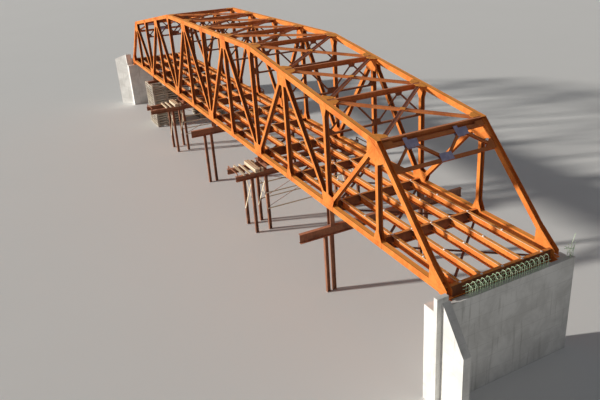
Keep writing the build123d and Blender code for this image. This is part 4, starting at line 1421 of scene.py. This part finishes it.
@dataclass(frozen=True)
class Studio:
    """Pale floor, even surroundings and one soft key light from the right of the bridge.

    Attributes:
        floor_size: Length and width of the floor.
        cells: Faces along one side of it.
        pale: Its main colour.
        grey: Colour of its clouds.
        fill: Colour of the surroundings.
        surround: Their strength.
        key: Strength of the key light.
        key_angle: Size of its disc, in radians, which softens the edges of shadows.
        key_colour: Its colour.
        key_from: Direction that it comes from.
    """

    floor_size: float = 400.0
    cells: int = 8
    pale: Triple = (0.80, 0.80, 0.79)
    grey: Triple = (0.70, 0.70, 0.69)
    fill: Triple = (0.90, 0.93, 1.0)
    surround: float = 0.13
    key: float = 4.5
    key_angle: float = 0.06
    key_colour: Triple = (1.0, 0.96, 0.89)
    key_from: Triple = (-0.343, -0.902, 0.262)

    def build(self) -> None:
        """Make the floor, the world and the lamp."""
        self.build_floor()
        self.build_world()
        self.build_key()

    def build_floor(self) -> None:
        """A wide level floor at the foot of the piles."""
        axis = np.linspace(-0.5, 0.5, self.cells + 1) * self.floor_size
        points = np.stack(np.meshgrid(axis, axis, [0.0], indexing="ij"), axis=-1).reshape(-1, 3)
        number = np.arange(len(points)).reshape(len(axis), -1)
        quads = np.stack([number[:-1, :-1], number[1:, :-1], number[1:, 1:], number[:-1, 1:]],
                         axis=-1).reshape(-1, 4)
        mesh = bpy.data.meshes.new("studio_floor")
        mesh.from_pydata(points.tolist(), [], quads.tolist())
        painter = Painter("studio_floor", self.pale)
        painter.lay(self.grey, painter.ramp(painter.noise(0.4, 3.0), 0.3, 0.7, 0.0, 0.08))
        painter.roughen(painter.noise(2.0, 2.0), 0.88, 0.95)
        mesh.materials.append(painter.material)
        floor = bpy.data.objects.new("studio_floor", mesh)
        bpy.context.scene.collection.objects.link(floor)
        floor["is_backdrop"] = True

    def build_world(self) -> None:
        """Even light all round, and plain white where a camera or a gloss ray looks."""
        world = bpy.data.worlds.new("studio_world")
        bpy.context.scene.world = world
        world.use_nodes = True
        tree = Tree(world.node_tree)
        fill = tree.add("Background", {"Color": self.fill, "Strength": self.surround})
        seen = tree.add("Background", {"Color": WHITE})
        path = tree.add("LightPath")
        total = path.outputs[Ray.CAMERA.value]
        for ray in (Ray.GLOSSY, Ray.TRANSMISSION):
            total = tree.math("MAXIMUM", total, path.outputs[ray.value])
        blend = tree.add("MixShader", {"Fac": total, 1: fill.outputs[0], 2: seen.outputs[0]})
        tree.add("OutputWorld", {"Surface": blend.outputs[0]})

    def build_key(self) -> None:
        """A sun with a wide disc, so that its shadows have soft edges."""
        lamp = bpy.data.lights.new("key_light", "SUN")
        lamp.energy, lamp.angle, lamp.color = self.key, self.key_angle, self.key_colour
        back = unit(np.array(self.key_from))
        right = unit(np.cross(Z_AXIS, back))
        holder = bpy.data.objects.new("key_light", lamp)
        holder.matrix_world = placed(right, np.cross(back, right), back, back * 12.0)
        bpy.context.scene.collection.objects.link(holder)


@dataclass(frozen=True)
class Viewpoint:
    """Camera that looks from above the right bank at the front portal.

    Attributes:
        place: Position in metres.
        yaw: Direction of view from -X, about Z, in radians.
        pitch: Direction of view above the level, in radians.
        roll: Turn about the direction of view, in radians.
        focal: Focal length in pixels of a picture as wide as width.
        width: That width.
        sensor: Width of the sensor in millimetres.
        shift: Offset of the picture, in picture widths.
    """

    place: Triple = (7.1369, -2.5838, 2.9916)
    yaw: float = -0.4761
    pitch: float = -0.3917
    roll: float = -0.0522
    focal: float = 608.07
    width: float = 600.0
    sensor: float = 36.0
    shift: tuple[float, float] = (-0.04605, -0.0402)

    def build(self) -> None:
        """Make the camera and look through it."""
        flat = math.cos(self.pitch)
        forward = np.array([-flat * math.cos(self.yaw), -flat * math.sin(self.yaw),
                            math.sin(self.pitch)])
        right = unit(np.cross(forward, Z_AXIS))
        up = np.cross(right, forward)
        c, s = math.cos(self.roll), math.sin(self.roll)
        data = bpy.data.cameras.new("view")
        data.sensor_width = self.sensor
        data.lens = self.focal / self.width * self.sensor
        data.shift_x, data.shift_y = self.shift
        data.clip_end = 1000.0
        camera = bpy.data.objects.new("view", data)
        camera.matrix_world = placed(c * right + s * up, c * up - s * right, -forward,
                                     np.array(self.place))
        bpy.context.scene.collection.objects.link(camera)
        bpy.context.scene.camera = camera


def write_sizes() -> None:
    """Put the box of the model and of the dressed bridge into plain lists."""
    boxes = {"cad": CAD_BOX, "visual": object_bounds()}
    plain = {name: [[float(v) for v in corner] for corner in box] for name, box in boxes.items()}


def main() -> None:
    """Dress the bridge piece by piece, then set up the studio and the camera."""
    logging.basicConfig(level=logging.INFO, format="%(name)s %(message)s")
    dress_frame()
    for kind in (ChordCovers, BoltedJoints, BracingBolts, FloorFittings, TimberCribs, CapTimbers,
                 TowerWashers, StandingBars):
        kind(Layout()).build()
    Studio().build()
    Viewpoint().build()
    bpy.context.scene.view_settings.view_transform = "Standard"
    write_sizes()
    LOG.info("the bridge is dressed")


if __name__ == "__main__":
    main()
